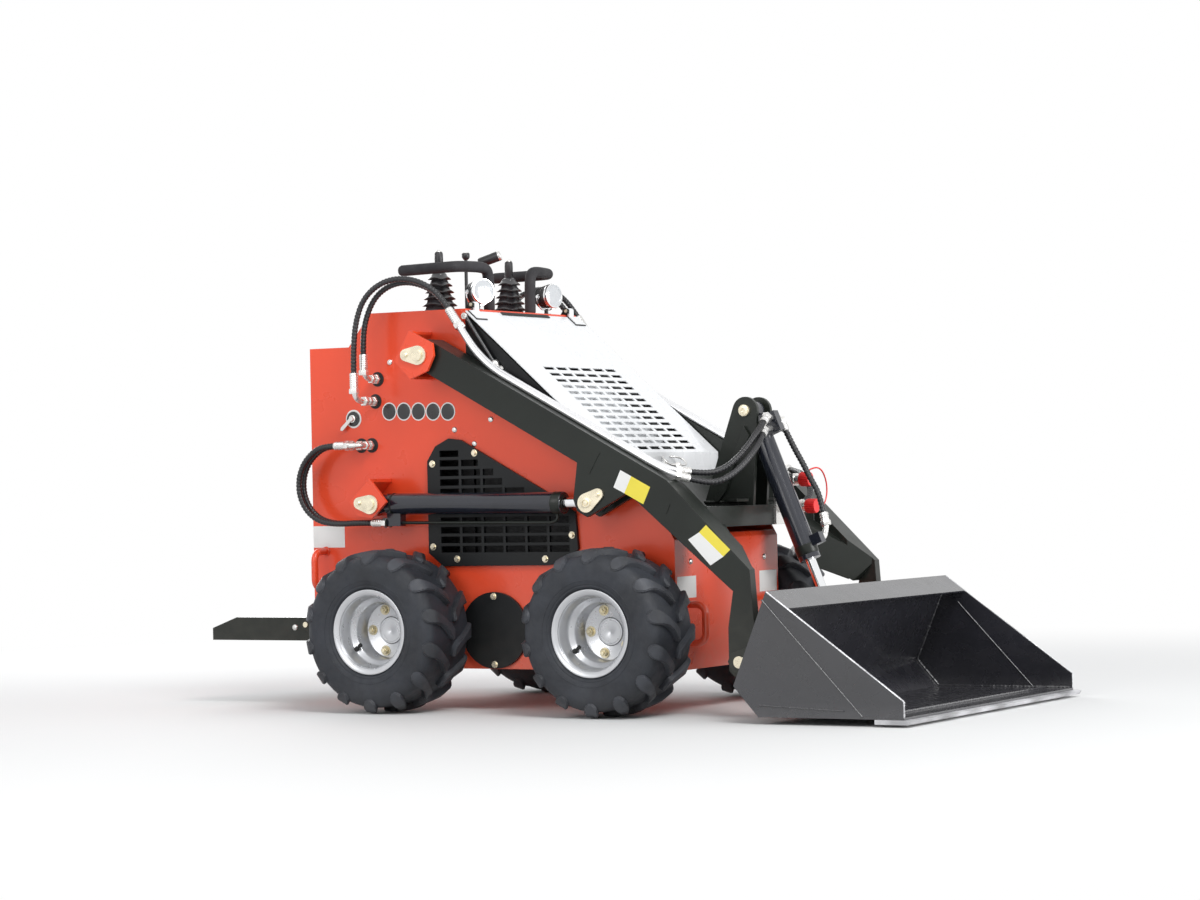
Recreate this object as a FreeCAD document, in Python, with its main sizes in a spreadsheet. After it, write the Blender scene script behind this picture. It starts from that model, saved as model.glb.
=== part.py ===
import FreeCAD, Part
import math
import os
import re
import Sketcher

doc = FreeCAD.newDocument("StandOnLoader")
Vector = FreeCAD.Vector
SIDES = {"R": -1, "L": 1}

# Driving sizes, in millimetres and degrees.
# x is measured forwards from midway between the axles, z upwards from the ground, y to the left.
SIZES = (
    # alias, value, what it measures
    ("mid_x", -113.5, "midway between the axles, from the middle of the whole loader"),
    ("wheelbase", 710, "rear axle to front axle"),
    ("wheel_y", 433, "middle of the loader to the middle of a tyre"),
    ("tyre_od", 457.2, "over the lugs"),
    ("tyre_wide", 216, "over the sidewalls"),
    ("lug_high", 16, "a lug above the carcass"),
    ("lug_thick", 24, "a lug along the tread"),
    ("lug_flat", 1, "a lug's flat top, inside the tread's round"),
    ("lug_sunk", 5, "a lug below the crown of the carcass"),
    ("lugs", 14, "lugs on each half of a tread"),
    ("lug_slant", 32, "a lug's angle to the axle"),
    ("lug_inner", 4, "a lug's inner end, from the middle of the tread"),
    ("crown_wide", 160, "flat of the carcass under the tread"),
    ("shoulder_drop", 34, "from the crown down to the widest part"),
    ("rim_od", 236, "over the rim's flanges"),
    ("rim_wide", 196, "over the rim's flanges, across"),
    ("bead_od", 203, "seat of the tyre's beads"),
    ("well_od", 168, "the rim's well"),
    ("rim_sheet", 5, "thickness of the rim"),
    ("seat_gap", 0.3, "between the tyre and the rim"),
    ("disc_thick", 8, "the wheel's disc"),
    ("disc_y", 4, "the disc's outer face, outwards from the middle of the tyre"),
    ("hub_deep", 40, "the hub inwards from the disc"),
    ("spindle_od", 60, "the axle that carries the hub"),
    ("spindle_gap", 0.06, "running clearance round the axle"),
    ("cap_od", 76, "the hub's cap"),
    ("cap_long", 26, "the cap outwards from the disc"),
    ("motor_od", 140, "the wheel motor's flange on the side plate"),
    ("motor_thick", 22, "the wheel motor's flange"),
    # the frame
    ("frame_y", 306, "middle to the outer face of a side plate"),
    ("plate", 8, "side plates, front plate and floor"),
    ("front_x", 496, "front plate's outer face"),
    ("front_z", 494, "front corner of a side plate"),
    ("nose_deep", 21, "from that corner's bevel back"),
    ("nose_high", 15, "from that corner's bevel up"),
    ("belly_z", 116, "underside of the floor"),
    ("rear_x", -693, "rear plate's outer face"),
    ("rear_low_z", 190, "underside at the rear plate"),
    ("rear_low_x", -600, "where the underside starts to rise"),
    ("rear_top_z", 1033, "top of the rear plate"),
    ("step_x", -557, "where the rear top starts to rise"),
    ("deck_x", -482, "rear edge of the console deck"),
    ("deck_z", 1127, "top of the console deck"),
    ("hood_x", -159, "front edge of the console deck, where the hood hinges"),
    ("waist_z", 965, "side plate's top edge below the hood's hinge"),
    ("bow_x", 300, "side plate's top edge halfway"),
    ("bow_z", 648, "side plate's top edge halfway"),
    ("bed_z", 330, "top of the engine's bed plate"),
    # the engine
    ("engine_x", 10, "middle of the engine"),
    ("engine_long", 420, "engine, along"),
    ("engine_wide", 400, "engine, across"),
    ("engine_high", 400, "engine, upwards"),
    # the hood
    ("hood_y", 314, "middle to the hood's side"),
    ("hood_sheet", 3, "hood and its side panels"),
    ("hood_end_x", 306, "lower front edge of the hood's slope"),
    ("hood_end_z", 712, "lower front edge of the hood's slope"),
    ("lip_z", 656, "lower edge of the hood's lip"),
    ("hood_gap", 6, "hood to the console deck"),
    ("hinge_x", 4, "hood's hinge pins, forwards of the deck's edge"),
    ("hinge_up", 12, "hood's hinge pins, above the deck"),
    ("hinge_y", 262, "hood's hinges, from the middle"),
    ("hinge_od", 10, "hood's hinge pins"),
    ("hinge_r", 8, "hinge knuckles round their pins"),
    ("hinge_wide", 24, "hinge knuckles"),
    ("hinge_ear", 6, "ears beside a hinge knuckle"),
    ("shield_gap", 8, "front shield behind the hood's lip"),
    ("slot_rows", 14, "rows of slots"),
    ("slot_columns", 6, "slots in a row"),
    ("slot_wide", 55, "a slot across the hood"),
    ("slot_high", 13, "a slot along the slope"),
    ("slot_pitch_y", 69, "slot to slot across"),
    ("slot_pitch_s", 26.6, "row to row along the slope"),
    ("slot_start", 243, "first row down the slope from its upper edge"),
    # the slotted covers on the side plates
    ("grille_rows", 11, "rows of slots"),
    ("grille_columns", 6, "slots in a full row"),
    ("grille_x", -248, "rear end of the first slots"),
    ("grille_z", 729, "upper edge of the top row"),
    ("grille_wide", 63, "a slot, along"),
    ("grille_high", 18, "a slot, upwards"),
    ("grille_pitch_x", 71.3, "slot to slot along"),
    ("grille_pitch_z", 26.9, "row to row"),
    ("grille_margin", 25, "slots below the cover's long slope"),
    # the arms
    ("pivot_x", -244, "arm's pivot pin"),
    ("pivot_z", 996, "arm's pivot pin"),
    ("arm_y", 361, "middle of an arm"),
    ("arm_wide", 80, "an arm across"),
    ("arm_above", 48, "arm's top face above the pivot"),
    ("arm_below", 37, "arm's bottom face below the pivot"),
    ("arm_slope", 28.4, "the upper length below level"),
    ("knee_run", 850.5, "pivot to the knee, along the upper length's top"),
    ("shin_slope", 44.5, "the lower length's top below level"),
    ("shin_long", 343, "knee to the box end, along the lower length's top"),
    ("shin_deep", 76, "the lower length at its end"),
    ("knee_deep", 92, "the lower length at the knee"),
    ("pin_od", 32, "pins of the arms and cylinders"),
    ("foot_x", 989, "hitch pin, forwards of the arm's pivot"),
    ("foot_z", -846, "hitch pin, above the arm's pivot"),
    ("foot_thick", 30, "the arm's foot plate"),
    ("foot_r", 40, "the foot plate round the hitch pin"),
    ("rod_run", 660.7, "lift rod's pin, along the upper length from the arm's pivot"),
    ("rod_below", 83.2, "lift rod's pin, below the upper length"),
    ("rod_lug", 34, "lug plates round the lift rod's pin"),
    ("gusset_wide", 100, "the lower length's inner side at the cross tube, inwards of the arm"),
    ("cross_x", 821, "cross tube, forwards of the arm's pivot"),
    ("cross_z", -469, "cross tube, above the arm's pivot"),
    ("cross_high", 47, "the cross tube, upwards"),
    ("cross_deep", 56, "the cross tube, along"),
    ("saddle_long", 160, "saddle plate that carries the tower"),
    ("saddle_thick", 9, "saddle plate"),
    ("tower_x", 827, "tilt cylinder's upper pin, forwards of the arm's pivot"),
    ("tower_z", -175, "tilt cylinder's upper pin, above the arm's pivot"),
    ("tower_r", 38, "the tower's ears round that pin"),
    ("tower_y", 46, "middle to the outer face of an ear"),
    ("tower_plate", 12, "an ear"),
    # the cylinders
    ("base_x", -415, "lift cylinder's lower pin"),
    ("base_z", 582, "lift cylinder's lower pin"),
    ("barrel_od", 60, "cylinders' barrels"),
    ("rod_od", 28, "cylinders' rods"),
    ("eye_od", 54, "eyes at the cylinders' ends"),
    ("eye_wide", 40, "eyes, across"),
    ("lift_barrel", 600, "lift barrel, from its pin"),
    ("tilt_barrel", 447, "tilt barrel, from its pin"),
    ("port_wide", 28, "port blocks on the barrels"),
    ("lift_port_deep", 62, "underside of a lift barrel's port block, from the barrel's middle"),
    ("tilt_port_high", 66, "face of the tilt barrel's port block, from the barrel's middle"),
    ("rod_gap", 0.1, "running clearance of a rod in its gland"),
    ("eye_gap", 6, "an eye to the plates beside it"),
    # brackets on the frame
    ("bracket_y", 420, "middle to a bracket's outer face"),
    ("bracket_plate", 10, "a bracket's plates"),
    # the hitch and the bucket
    ("hitch_pin_x", 59, "tilt rod's pin, forwards of the hitch pin"),
    ("hitch_pin_z", 132, "tilt rod's pin, above the hitch pin"),
    ("back_x", 58, "bucket's heel, forwards of the hitch pin"),
    ("back_z", -52, "bucket's heel, above the hitch pin"),
    ("brow_x", 158, "top of the bucket's back, forwards of the hitch pin"),
    ("brow_z", 193, "top of the bucket's back, above the hitch pin"),
    ("hitch_plate", 12, "the hitch's back plate"),
    ("hitch_y", 424, "middle to the end of the hitch's back plate"),
    ("hitch_high", 235, "hitch's back plate, up along the bucket"),
    ("hitch_ear", 12, "the hitch's ears"),
    ("hitch_gap", 6, "between an ear and an arm's foot"),
    ("hitch_r", 32, "the ears round their pins"),
    ("bucket_y", 567, "middle to the bucket's side"),
    ("bucket_sheet", 6, "bucket's sides and shell"),
    ("toe_x", 541, "front of the bucket's side, forwards of the hitch pin"),
    ("toe_low", -131, "bucket's floor below the hitch pin, at the front"),
    ("heel_x", 129, "where the floor starts, forwards of the hitch pin"),
    ("toe_high", -84, "front upper corner of the side"),
    ("edge_x", 563, "tip of the cutting edge"),
    ("edge_thick", 12, "cutting edge"),
    ("edge_deep", 100, "cutting edge, along"),
    ("edge_over", 10, "cutting edge past the bucket's side"),
    ("brow_deep", 75, "flange along the bucket's top"),
    # the platform
    ("step_long", 358, "platform, along"),
    ("step_y", 280, "middle to the platform's side"),
    ("step_pin_x", -735, "platform's hinge pin"),
    ("step_pin_z", 236, "platform's hinge pin"),
    ("step_pin_od", 16, "platform's hinge pins"),
    ("step_above", 20, "platform's deck above its pin"),
    ("step_below", 47, "platform's side flanges below its pin"),
    ("step_root", 12, "platform forwards of its pin"),
    ("step_tip", 35, "height of the platform's rear edge"),
    ("step_sheet", 5, "platform's sheet"),
    ("step_taper", 88, "sloping rear end of the platform"),
    ("step_gap", 5, "between the platform and its brackets"),
    # loops, bars and lamps
    ("loop_od", 20, "bar of the tie-down loops"),
    ("loop_high", 104, "loop between the middles of its legs"),
    ("loop_out", 58, "loop outwards from the plate, to the middle of the bar"),
    ("front_loop_y", 246, "front loops"),
    ("front_loop_z", 242, "front loops"),
    ("rear_loop_x", -650, "rear loops"),
    ("rear_loop_z", 396, "rear loops"),
    ("bar_od", 37, "padded hand bars"),
    ("bar_foot_y", 98, "foot of a hand bar"),
    ("bar_end_y", 225, "outer run of a hand bar"),
    ("bar_x", -191, "foot of a hand bar"),
    ("bar_z", 1247, "height of the hand bars"),
    ("bar_back", 220, "hand bar rearwards"),
    ("lamp_y", 193, "work lamps"),
    ("lamp_x", -205, "face of the work lamps"),
    ("lamp_z", 1175, "middle of the work lamps"),
    ("lamp_od", 70, "work lamps"),
    ("lamp_long", 62, "work lamps"),
    ("hose_od", 17, "hydraulic hoses"),
    ("pipe_od", 16, "steel pipes along the arms"),
    ("tube_od", 9, "steel tube under a lift cylinder"),
    ("ferrule_long", 46, "ferrules at the pipes' ends"),
    ("fitting_od", 22, "elbows and fittings at the hoses' ends"),
    ("pipe_gap", 0.3, "between a pipe and the arm that carries it"),
    ("coupler_od", 30, "quick couplers"),
    ("coupler_cap_od", 38, "dust caps of the quick couplers"),
    ("boot_y", 177, "lever boots"),
    ("boot_x", -318, "lever boots"),
    ("boot_wide", 108, "lever boots at the deck"),
    ("boot_high", 96, "lever boots"),
    ("lever_high", 84, "levers above their boots"),
    ("grip_long", 60, "a lever's grip"),
    ("grip_od", 24, "a lever's grip"),
    ("throttle_x", -318, "throttle rod"),
    ("throttle_y", 46, "throttle rod, to the right of the middle"),
    ("throttle_high", 164, "throttle knob above the deck"),
    ("tip_x", -226, "tip of the slanting grip"),
    ("tip_y", 27, "tip of the slanting grip"),
    ("tip_z", 1304, "tip of the slanting grip"),
    # covers on the side plates
    ("cover_thick", 10, "black covers on the side plates"),
    ("round_cover_x", -78, "round cover"),
    ("round_cover_z", 224, "round cover"),
    ("round_cover_od", 214, "round cover"),
)
ALIASES = {alias for alias, value, meaning in SIZES}

sheet = doc.addObject("Spreadsheet::Sheet", "Sizes")
for row, (alias, value, meaning) in enumerate(SIZES, start=1):
    sheet.set(f"A{row}", alias)
    sheet.set(f"B{row}", str(value))
    sheet.set(f"C{row}", meaning)
    sheet.setAlias(f"B{row}", alias)
doc.recompute()


def bound(text):
    """The expression with every alias read from the sheet."""
    return re.sub(r"[a-z_]+", lambda word: f"Sizes.{word[0]}" if word[0] in ALIASES else word[0], text)


def size(text):
    """The value of an expression, in millimetres or degrees."""
    answer = sheet.evalExpression(bound(text))
    return float(getattr(answer, "Value", answer))


# Pieces: each is an object with its own label, and all are written at the end.
pieces = []


def new_body(label, member=False):
    """A body that is a piece by itself, or one member of a piece that gather makes."""
    body = doc.addObject("PartDesign::Body", label)
    if not member:
        body.Label = label
        pieces.append(body)
    return body


def gather(label, members):
    """One node of several solids of a kind that don't touch."""
    node = doc.addObject("Part::Compound", label)
    node.Label = label
    node.Links = members
    pieces.append(node)
    return node


def fuse(label, members):
    """One node of several solids that are welded together."""
    node = doc.addObject("Part::MultiFuse", label)
    node.Label = label
    node.Shapes = members
    pieces.append(node)
    return node


def block(label, sizes, corner, turn="0"):
    """A box tied to the sheet, for a member or for a cut."""
    box = doc.addObject("Part::Box", label)
    for name, text in zip(("Length", "Width", "Height"), sizes):
        box.setExpression(name, bound(text))
    place(box, *corner, turn)
    return box


def cut(label, body, tools):
    """One node of a body with openings cut through it."""
    openings = doc.addObject("Part::Compound", f"{label}_openings")
    openings.Links = tools
    node = doc.addObject("Part::Cut", label)
    node.Label = label
    node.Base = body
    node.Tool = openings
    pieces.append(node)
    return node


def place(piece, x, y, z, turn="0", about=(0, 1, 0)):
    """Put a piece's own origin at x, y, z, turned about an axis through it."""
    piece.Placement = FreeCAD.Placement(Vector(), FreeCAD.Rotation(Vector(*about), 10))
    for path, text in (("Base.x", x), ("Base.y", y), ("Base.z", z), ("Rotation.Angle", turn)):
        piece.setExpression(f"Placement.{path}", bound(text))


def sketch_on(body, plane, offset="0"):
    """A sketch on one of the body's own planes, moved along that plane's normal."""
    planes = {feature.Role: feature for feature in body.Origin.OriginFeatures}
    sketch = body.newObject("Sketcher::SketchObject", f"{body.Name}_sketch")
    sketch.AttachmentSupport = [(planes[f"{plane}_Plane"], "")]
    sketch.MapMode = "FlatFace"
    if offset != "0":
        sketch.setExpression("AttachmentOffset.Base.z", bound(offset))
    return sketch


def tie(sketch, kind, geometry, point, text):
    """Hold one point of the sketch at a distance from its origin."""
    index = sketch.addConstraint(Sketcher.Constraint(kind, -1, 1, geometry, point, size(text)))
    sketch.setExpression(f"Constraints[{index}]", bound(text))


def polygon(sketch, corners):
    """A closed outline whose corners are all tied to the sheet."""
    points = [Vector(size(across), size(up), 0) for across, up in corners]
    first = sketch.GeometryCount
    count = len(points)
    for i, point in enumerate(points):
        sketch.addGeometry(Part.LineSegment(point, points[(i + 1) % count]), False)
    for i, (across, up) in enumerate(corners):
        follower = first + (i + 1) % count
        sketch.addConstraint(Sketcher.Constraint("Coincident", first + i, 2, follower, 1))
        tie(sketch, "DistanceX", first + i, 1, across)
        tie(sketch, "DistanceY", first + i, 1, up)
    return sketch


def circle(sketch, across, up, diameter):
    """A circle tied to the sheet at its centre and diameter."""
    index = sketch.addGeometry(Part.Circle(Vector(size(across), size(up), 0), Vector(0, 0, 1),
                                           size(diameter) / 2), False)
    tie(sketch, "DistanceX", index, 3, across)
    tie(sketch, "DistanceY", index, 3, up)
    held = sketch.addConstraint(Sketcher.Constraint("Diameter", index, size(diameter)))
    sketch.setExpression(f"Constraints[{held}]", bound(diameter))
    return sketch


def pad(body, sketch, length, side="Symmetric", flip=False):
    feature = body.newObject("PartDesign::Pad", f"{body.Name}_pad")
    feature.Profile = sketch
    feature.setExpression("Length", bound(length))
    feature.SideType = side
    feature.Reversed = flip
    doc.recompute()
    return feature


def pocket(body, sketch, length, side="Symmetric", flip=False):
    before = body.Shape.Volume
    feature = body.newObject("PartDesign::Pocket", f"{body.Name}_pocket")
    feature.Profile = sketch
    feature.setExpression("Length", bound(length))
    feature.SideType = side
    feature.Reversed = flip
    doc.recompute()
    if body.Shape.Volume > before - 1:
        raise ValueError(f"{body.Label}: {feature.Name} cuts nothing")
    return feature


def revolve(body, sketch, axis="H_Axis"):
    feature = body.newObject("PartDesign::Revolution", f"{body.Name}_turn")
    feature.Profile = sketch
    feature.ReferenceAxis = (sketch, [axis])
    feature.Angle = 360
    doc.recompute()
    return feature


def plate(label, corners, thick, holes=(), member=False):
    """A flat plate that stands along the loader, in the XZ plane, with round holes."""
    body = new_body(label, member)
    sketch = polygon(sketch_on(body, "XZ"), corners)
    for across, up, diameter in holes:
        circle(sketch, across, up, diameter)
    pad(body, sketch, thick)
    return body


def tube_along(points, diameter):
    """A round tube along straight runs joined by tangent arcs, as large as the runs allow."""
    points = [Vector(*point) for point in points]
    edges = []
    bends = []
    start = points[0]
    for before, corner, after in zip(points, points[1:], points[2:]):
        back = before - corner
        ahead = after - corner
        turn = math.pi - back.getAngle(ahead)
        trim = 0.45 * min(back.Length, ahead.Length)
        radius = trim / math.tan(turn / 2)
        bends.append(radius)
        enter = corner + back.normalize() * trim
        leave = corner + ahead.normalize() * trim
        inward = (back + ahead).normalize()
        middle = corner + inward * (radius / math.cos(turn / 2) - radius)
        edges.append(Part.LineSegment(start, enter).toShape())
        edges.append(Part.Arc(enter, middle, leave).toShape())
        start = leave
    edges.append(Part.LineSegment(start, points[-1]).toShape())
    if bends:
        print(f"tube of {diameter:g} mm: tightest bend {min(bends):.0f} mm")
    path = Part.Wire(edges)
    ring = Part.Circle(points[0], points[1] - points[0], diameter / 2).toShape()
    solid = path.makePipeShell([Part.Wire(ring)], True, True)
    expected = path.Length * math.pi * diameter ** 2 / 4
    if abs(solid.Volume - expected) > 0.01 * expected:
        raise ValueError("a tube's volume is wrong")
    return solid


def shape_piece(label, solids):
    """A sub-part made straight from solids, touching or apart."""
    piece = doc.addObject("Part::Feature", label)
    piece.Label = label
    piece.Shape = solids[0] if len(solids) == 1 else Part.makeCompound(solids)
    pieces.append(piece)
    return piece


# Chassis: a welded box of plates, open at the top under the hood, with a bed for the engine.
chassis = new_body("chassis")
pad(chassis, polygon(sketch_on(chassis, "XZ"), (
    ("rear_x", "rear_low_z"), ("rear_low_x", "belly_z"), ("front_x", "belly_z"), ("front_x", "front_z - 23"),
    ("front_x - nose_deep", "front_z + nose_high"), ("bow_x", "bow_z"), ("hood_x", "waist_z"),
    ("hood_x", "deck_z"),
    ("deck_x", "deck_z"), ("step_x", "rear_top_z"), ("rear_x", "rear_top_z"))), "2 * frame_y")
pocket(chassis, polygon(sketch_on(chassis, "XZ"), (
    ("rear_x + plate", "bed_z"), ("front_x - plate", "bed_z"), ("front_x - plate", "bow_z"),
    ("hood_x + 40", "deck_z + 60"), ("hood_x", "deck_z - plate"), ("deck_x + plate", "deck_z - plate"),
    ("step_x + plate", "rear_top_z - plate"), ("rear_x + plate", "rear_top_z - plate"))),
    "2 * (frame_y - plate)")
pocket(chassis, polygon(sketch_on(chassis, "XZ"), (
    ("rear_x + plate", "rear_low_z + plate"), ("rear_low_x + plate", "belly_z + plate"),
    ("front_x - plate", "belly_z + plate"), ("front_x - plate", "bed_z - plate"),
    ("rear_x + plate", "bed_z - plate"))), "2 * (frame_y - plate)")
pocket(chassis, polygon(sketch_on(chassis, "XZ"), (
    ("-240", "418"), ("102", "419"), ("154", "429"), ("184", "455"), ("178", "544"), ("84", "601"),
    ("-181", "744"), ("-214", "748"), ("-254", "731"), ("-276", "696"), ("-276", "447"))),
    "2 * frame_y + plate")
place(chassis, "mid_x", "0", "0")

# Engine: one block at its real place and size, on the bed plate.
engine = block("engine_block", ("engine_long", "engine_wide", "engine_high"),
               ("mid_x + engine_x - engine_long / 2", "-engine_wide / 2", "bed_z"))
engine.Label = "engine_block"
pieces.append(engine)

# Side panels: black sheets that close the triangle between the arms and the hood.
panels = []
for sign in SIDES.values():
    panel = plate("side_panel", (
        ("hood_x", "waist_z"), ("bow_x", "bow_z"), ("bow_x", "hood_end_z - 8"), ("hood_x", "deck_z - 14")),
        "hood_sheet", member=True)
    place(panel, "mid_x", f"{sign} * (frame_y - hood_sheet / 2)", "0")
    panels.append(panel)
gather("side_panels", panels)

# Front shield: a black sheet that lies on the side plates, from the hood's lip down to the front plate.
SHIELD_X = "(bow_x + shield_gap)"
SHIELD_Z = "(bow_z - shield_gap * (bow_z - front_z - nose_high) / (front_x - nose_deep - bow_x))"
shield = plate("front_shield", (
    (SHIELD_X, SHIELD_Z), (SHIELD_X, f"{SHIELD_Z} + hood_sheet * 2"),
    ("front_x - nose_deep", "front_z + nose_high + hood_sheet * 2"),
    ("front_x - nose_deep", "front_z + nose_high")),
    "2 * frame_y")
place(shield, "mid_x", "0", "0")

# Hood: a bent sheet with a lip, and two knuckles that turn on pins at the front of the console deck.
hood = new_body("hood_shell", member=True)
RUN = "(hood_end_x - hood_x)"
FALL = "(hood_end_z - deck_z)"
pad(hood, polygon(sketch_on(hood, "XZ"), (
    ("hood_gap", "-hood_gap"), (RUN, FALL), (RUN, "lip_z - deck_z"),
    (f"{RUN} - hood_sheet", "lip_z - deck_z"),
    (f"{RUN} - hood_sheet", f"{FALL} - hood_sheet / 3"), ("hood_gap", "-hood_gap - hood_sheet * 1.4"))),
    "2 * hood_y")
for sign in SIDES.values():
    knuckle = polygon(sketch_on(hood, "XZ", f"{sign} * hinge_y"), (
        ("hinge_x - hinge_r", "hinge_up + 3"), ("hinge_x - 3", "hinge_up + hinge_r"),
        ("hinge_x + 3", "hinge_up + hinge_r"), ("hinge_x + hinge_r", "hinge_up + 3"),
        ("hinge_x + hinge_r", "-hood_gap - 7"), ("hood_gap + 1", "-hood_gap - 3"), ("hood_gap - 1", "2"),
        ("hinge_x - hinge_r", "hinge_up - 4")))
    pad(hood, circle(knuckle, "hinge_x", "hinge_up", "hinge_od + 0.1"), "hinge_wide")
SLOPE = "atan2(-(hood_end_z - deck_z) - hood_gap; hood_end_x - hood_x - hood_gap)"


def on_slope(run, above):
    """A point down the hood's slope from its upper edge, and outwards from its face."""
    return (f"hood_gap + ({run}) * cos({SLOPE}) + ({above}) * sin({SLOPE})",
            f"-hood_gap - ({run}) * sin({SLOPE}) + ({above}) * cos({SLOPE})")


place(hood, "mid_x + hood_x", "0", "deck_z")
slots = []
for row in range(int(size("slot_rows"))):
    along, up = on_slope(f"slot_start + {row} * slot_pitch_s", "-hood_sheet - 5")
    for column in range(int(size("slot_columns"))):
        middle = f"({column} - (slot_columns - 1) / 2) * slot_pitch_y"
        slots.append(block("hood_slot", ("slot_high", "slot_wide", "hood_sheet + 10"), (
            f"mid_x + hood_x + {along}", f"{middle} - slot_wide / 2", f"deck_z + {up}"), SLOPE))
cut("hood", hood, slots)
hinges = []
for sign in SIDES.values():
    for end in (-1, 1):
        ear = plate("hood_ear", (
            ("-16", "0"), ("0", "0"), ("hinge_x + hinge_r", "hinge_up - 6"),
            ("hinge_x + hinge_r", "hinge_up + 4"),
            ("hinge_x", "hinge_up + hinge_r"), ("hinge_x - hinge_r", "hinge_up + 6")), "hinge_ear",
            holes=(("hinge_x", "hinge_up", "hinge_od + 0.1"),), member=True)
        place(ear, "mid_x + hood_x", f"{sign} * hinge_y + {end} * (hinge_wide + hinge_ear + 2) / 2", "deck_z")
        hinges.append(ear)
gather("hood_hinges", hinges)

# Arms: bent box beams, each with a lug for its lift rod below and a foot plate for the hitch.
def on_arm(run, below):
    """A point of the upper length: run from the pivot along its slope, below its top face."""
    x = f"({run}) * cos(arm_slope) + (arm_above - ({below})) * sin(arm_slope)"
    z = f"-({run}) * sin(arm_slope) + (arm_above - ({below})) * cos(arm_slope)"
    return x, z


ARM_UNDER = "(arm_above + arm_below)"
KNEE = on_arm("knee_run", "0")
KNEE_UNDER = on_arm("knee_run - 90", ARM_UNDER)
SHIN_END = (f"{KNEE[0]} + shin_long * cos(shin_slope)", f"{KNEE[1]} - shin_long * sin(shin_slope)")
SHIN_UNDER = (f"{SHIN_END[0]} - shin_deep * sin(shin_slope - 3)",
              f"{SHIN_END[1]} - shin_deep * cos(shin_slope - 3)")
ROD_PIN = on_arm("rod_run", f"{ARM_UNDER} + rod_below")
SHIN_X = "(cross_x + cross_deep / 2)"
SHIN_TOP = f"{KNEE[1]} - ({SHIN_X} - {KNEE[0]}) * tan(shin_slope)"
for side, sign in SIDES.items():
    arm = new_body(f"arm_{side}")
    beam = polygon(sketch_on(arm, "XZ"), (
        on_arm("-30", "18"), on_arm("-5", "0"), KNEE, SHIN_END, SHIN_UNDER, KNEE_UNDER,
        on_arm("-12", ARM_UNDER), on_arm("-30", f"{ARM_UNDER} - 17")))
    pad(arm, circle(beam, "0", "0", "pin_od + 0.2"), "arm_wide")
    lug = polygon(sketch_on(arm, "XZ"), (
        on_arm("rod_run - 78", f"{ARM_UNDER} - 1"), on_arm("rod_run + 100", f"{ARM_UNDER} - 1"),
        on_arm("rod_run + rod_lug", f"{ARM_UNDER} + rod_below + 12"),
        on_arm("rod_run + 18", f"{ARM_UNDER} + rod_below + rod_lug"),
        on_arm("rod_run - 18", f"{ARM_UNDER} + rod_below + rod_lug"),
        on_arm("rod_run - rod_lug - 8", f"{ARM_UNDER} + rod_below + 12")))
    pad(arm, circle(lug, *ROD_PIN, "pin_od + 0.2"), "arm_wide")
    pocket(arm, polygon(sketch_on(arm, "XZ"), (
        on_arm("rod_run - 110", ARM_UNDER), on_arm("rod_run + 140", ARM_UNDER),
        on_arm("rod_run + 140", f"{ARM_UNDER} + rod_below + 60"),
        on_arm("rod_run - 110", f"{ARM_UNDER} + rod_below + 60"))), "eye_wide + 2 * eye_gap")
    inward = f"({-sign})"
    pad(arm, polygon(sketch_on(arm, "XZ", f"{sign} * (arm_wide + gusset_wide - 2) / 2"), (
        (SHIN_X, SHIN_TOP), SHIN_END, SHIN_UNDER,
        (SHIN_X, f"{SHIN_TOP} - knee_deep * 1.25"))), "gusset_wide + 2")
    pocket(arm, polygon(sketch_on(arm, "XY"), (
        (SHIN_X, f"{inward} * (arm_wide / 2 + gusset_wide)"),
        (f"{SHIN_END[0]} - 8", f"{sign} * (arm_wide / 2 - foot_thick)"),
        (f"{SHIN_END[0]} + 90", f"{sign} * (arm_wide / 2 - foot_thick)"),
        (f"{SHIN_END[0]} + 90", f"{inward} * (arm_wide / 2 + gusset_wide + 40)"),
        (SHIN_X, f"{inward} * (arm_wide / 2 + gusset_wide + 40)"))), "3000")
    foot = polygon(sketch_on(arm, "XZ", f"-({sign}) * (arm_wide - foot_thick) / 2"), (
        SHIN_UNDER, SHIN_END, ("foot_x + foot_r", "foot_z + 60"), ("foot_x + foot_r", "foot_z - foot_r + 16"),
        ("foot_x + foot_r - 16", "foot_z - foot_r"), ("foot_x - foot_r + 16", "foot_z - foot_r"),
        ("foot_x - foot_r", "foot_z - foot_r + 16"), ("foot_x - foot_r", "foot_z + 90")))
    pad(arm, circle(foot, "foot_x", "foot_z", "pin_od + 0.2"), "foot_thick")
    place(arm, "mid_x + pivot_x", f"{sign} * arm_y", "pivot_z")

# Cross tube and saddle: they join the arms and carry the tower.
CROSS = ("cross_x - cross_deep / 2", "cross_x + cross_deep / 2",
         "cross_z - cross_high / 2", "cross_z + cross_high / 2")
SADDLE_TOP = "(cross_z + cross_high / 2 + saddle_thick)"
cross = plate("cross_tube", (
    (f"{CROSS[1]} - saddle_long", CROSS[3]), (CROSS[0], CROSS[3]), (CROSS[0], CROSS[2]), (CROSS[1], CROSS[2]),
    (CROSS[1], SADDLE_TOP), (f"{CROSS[1]} - saddle_long", SADDLE_TOP)), "2 * (arm_y - arm_wide / 2)")
place(cross, "mid_x + pivot_x", "0", "pivot_z")

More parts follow.
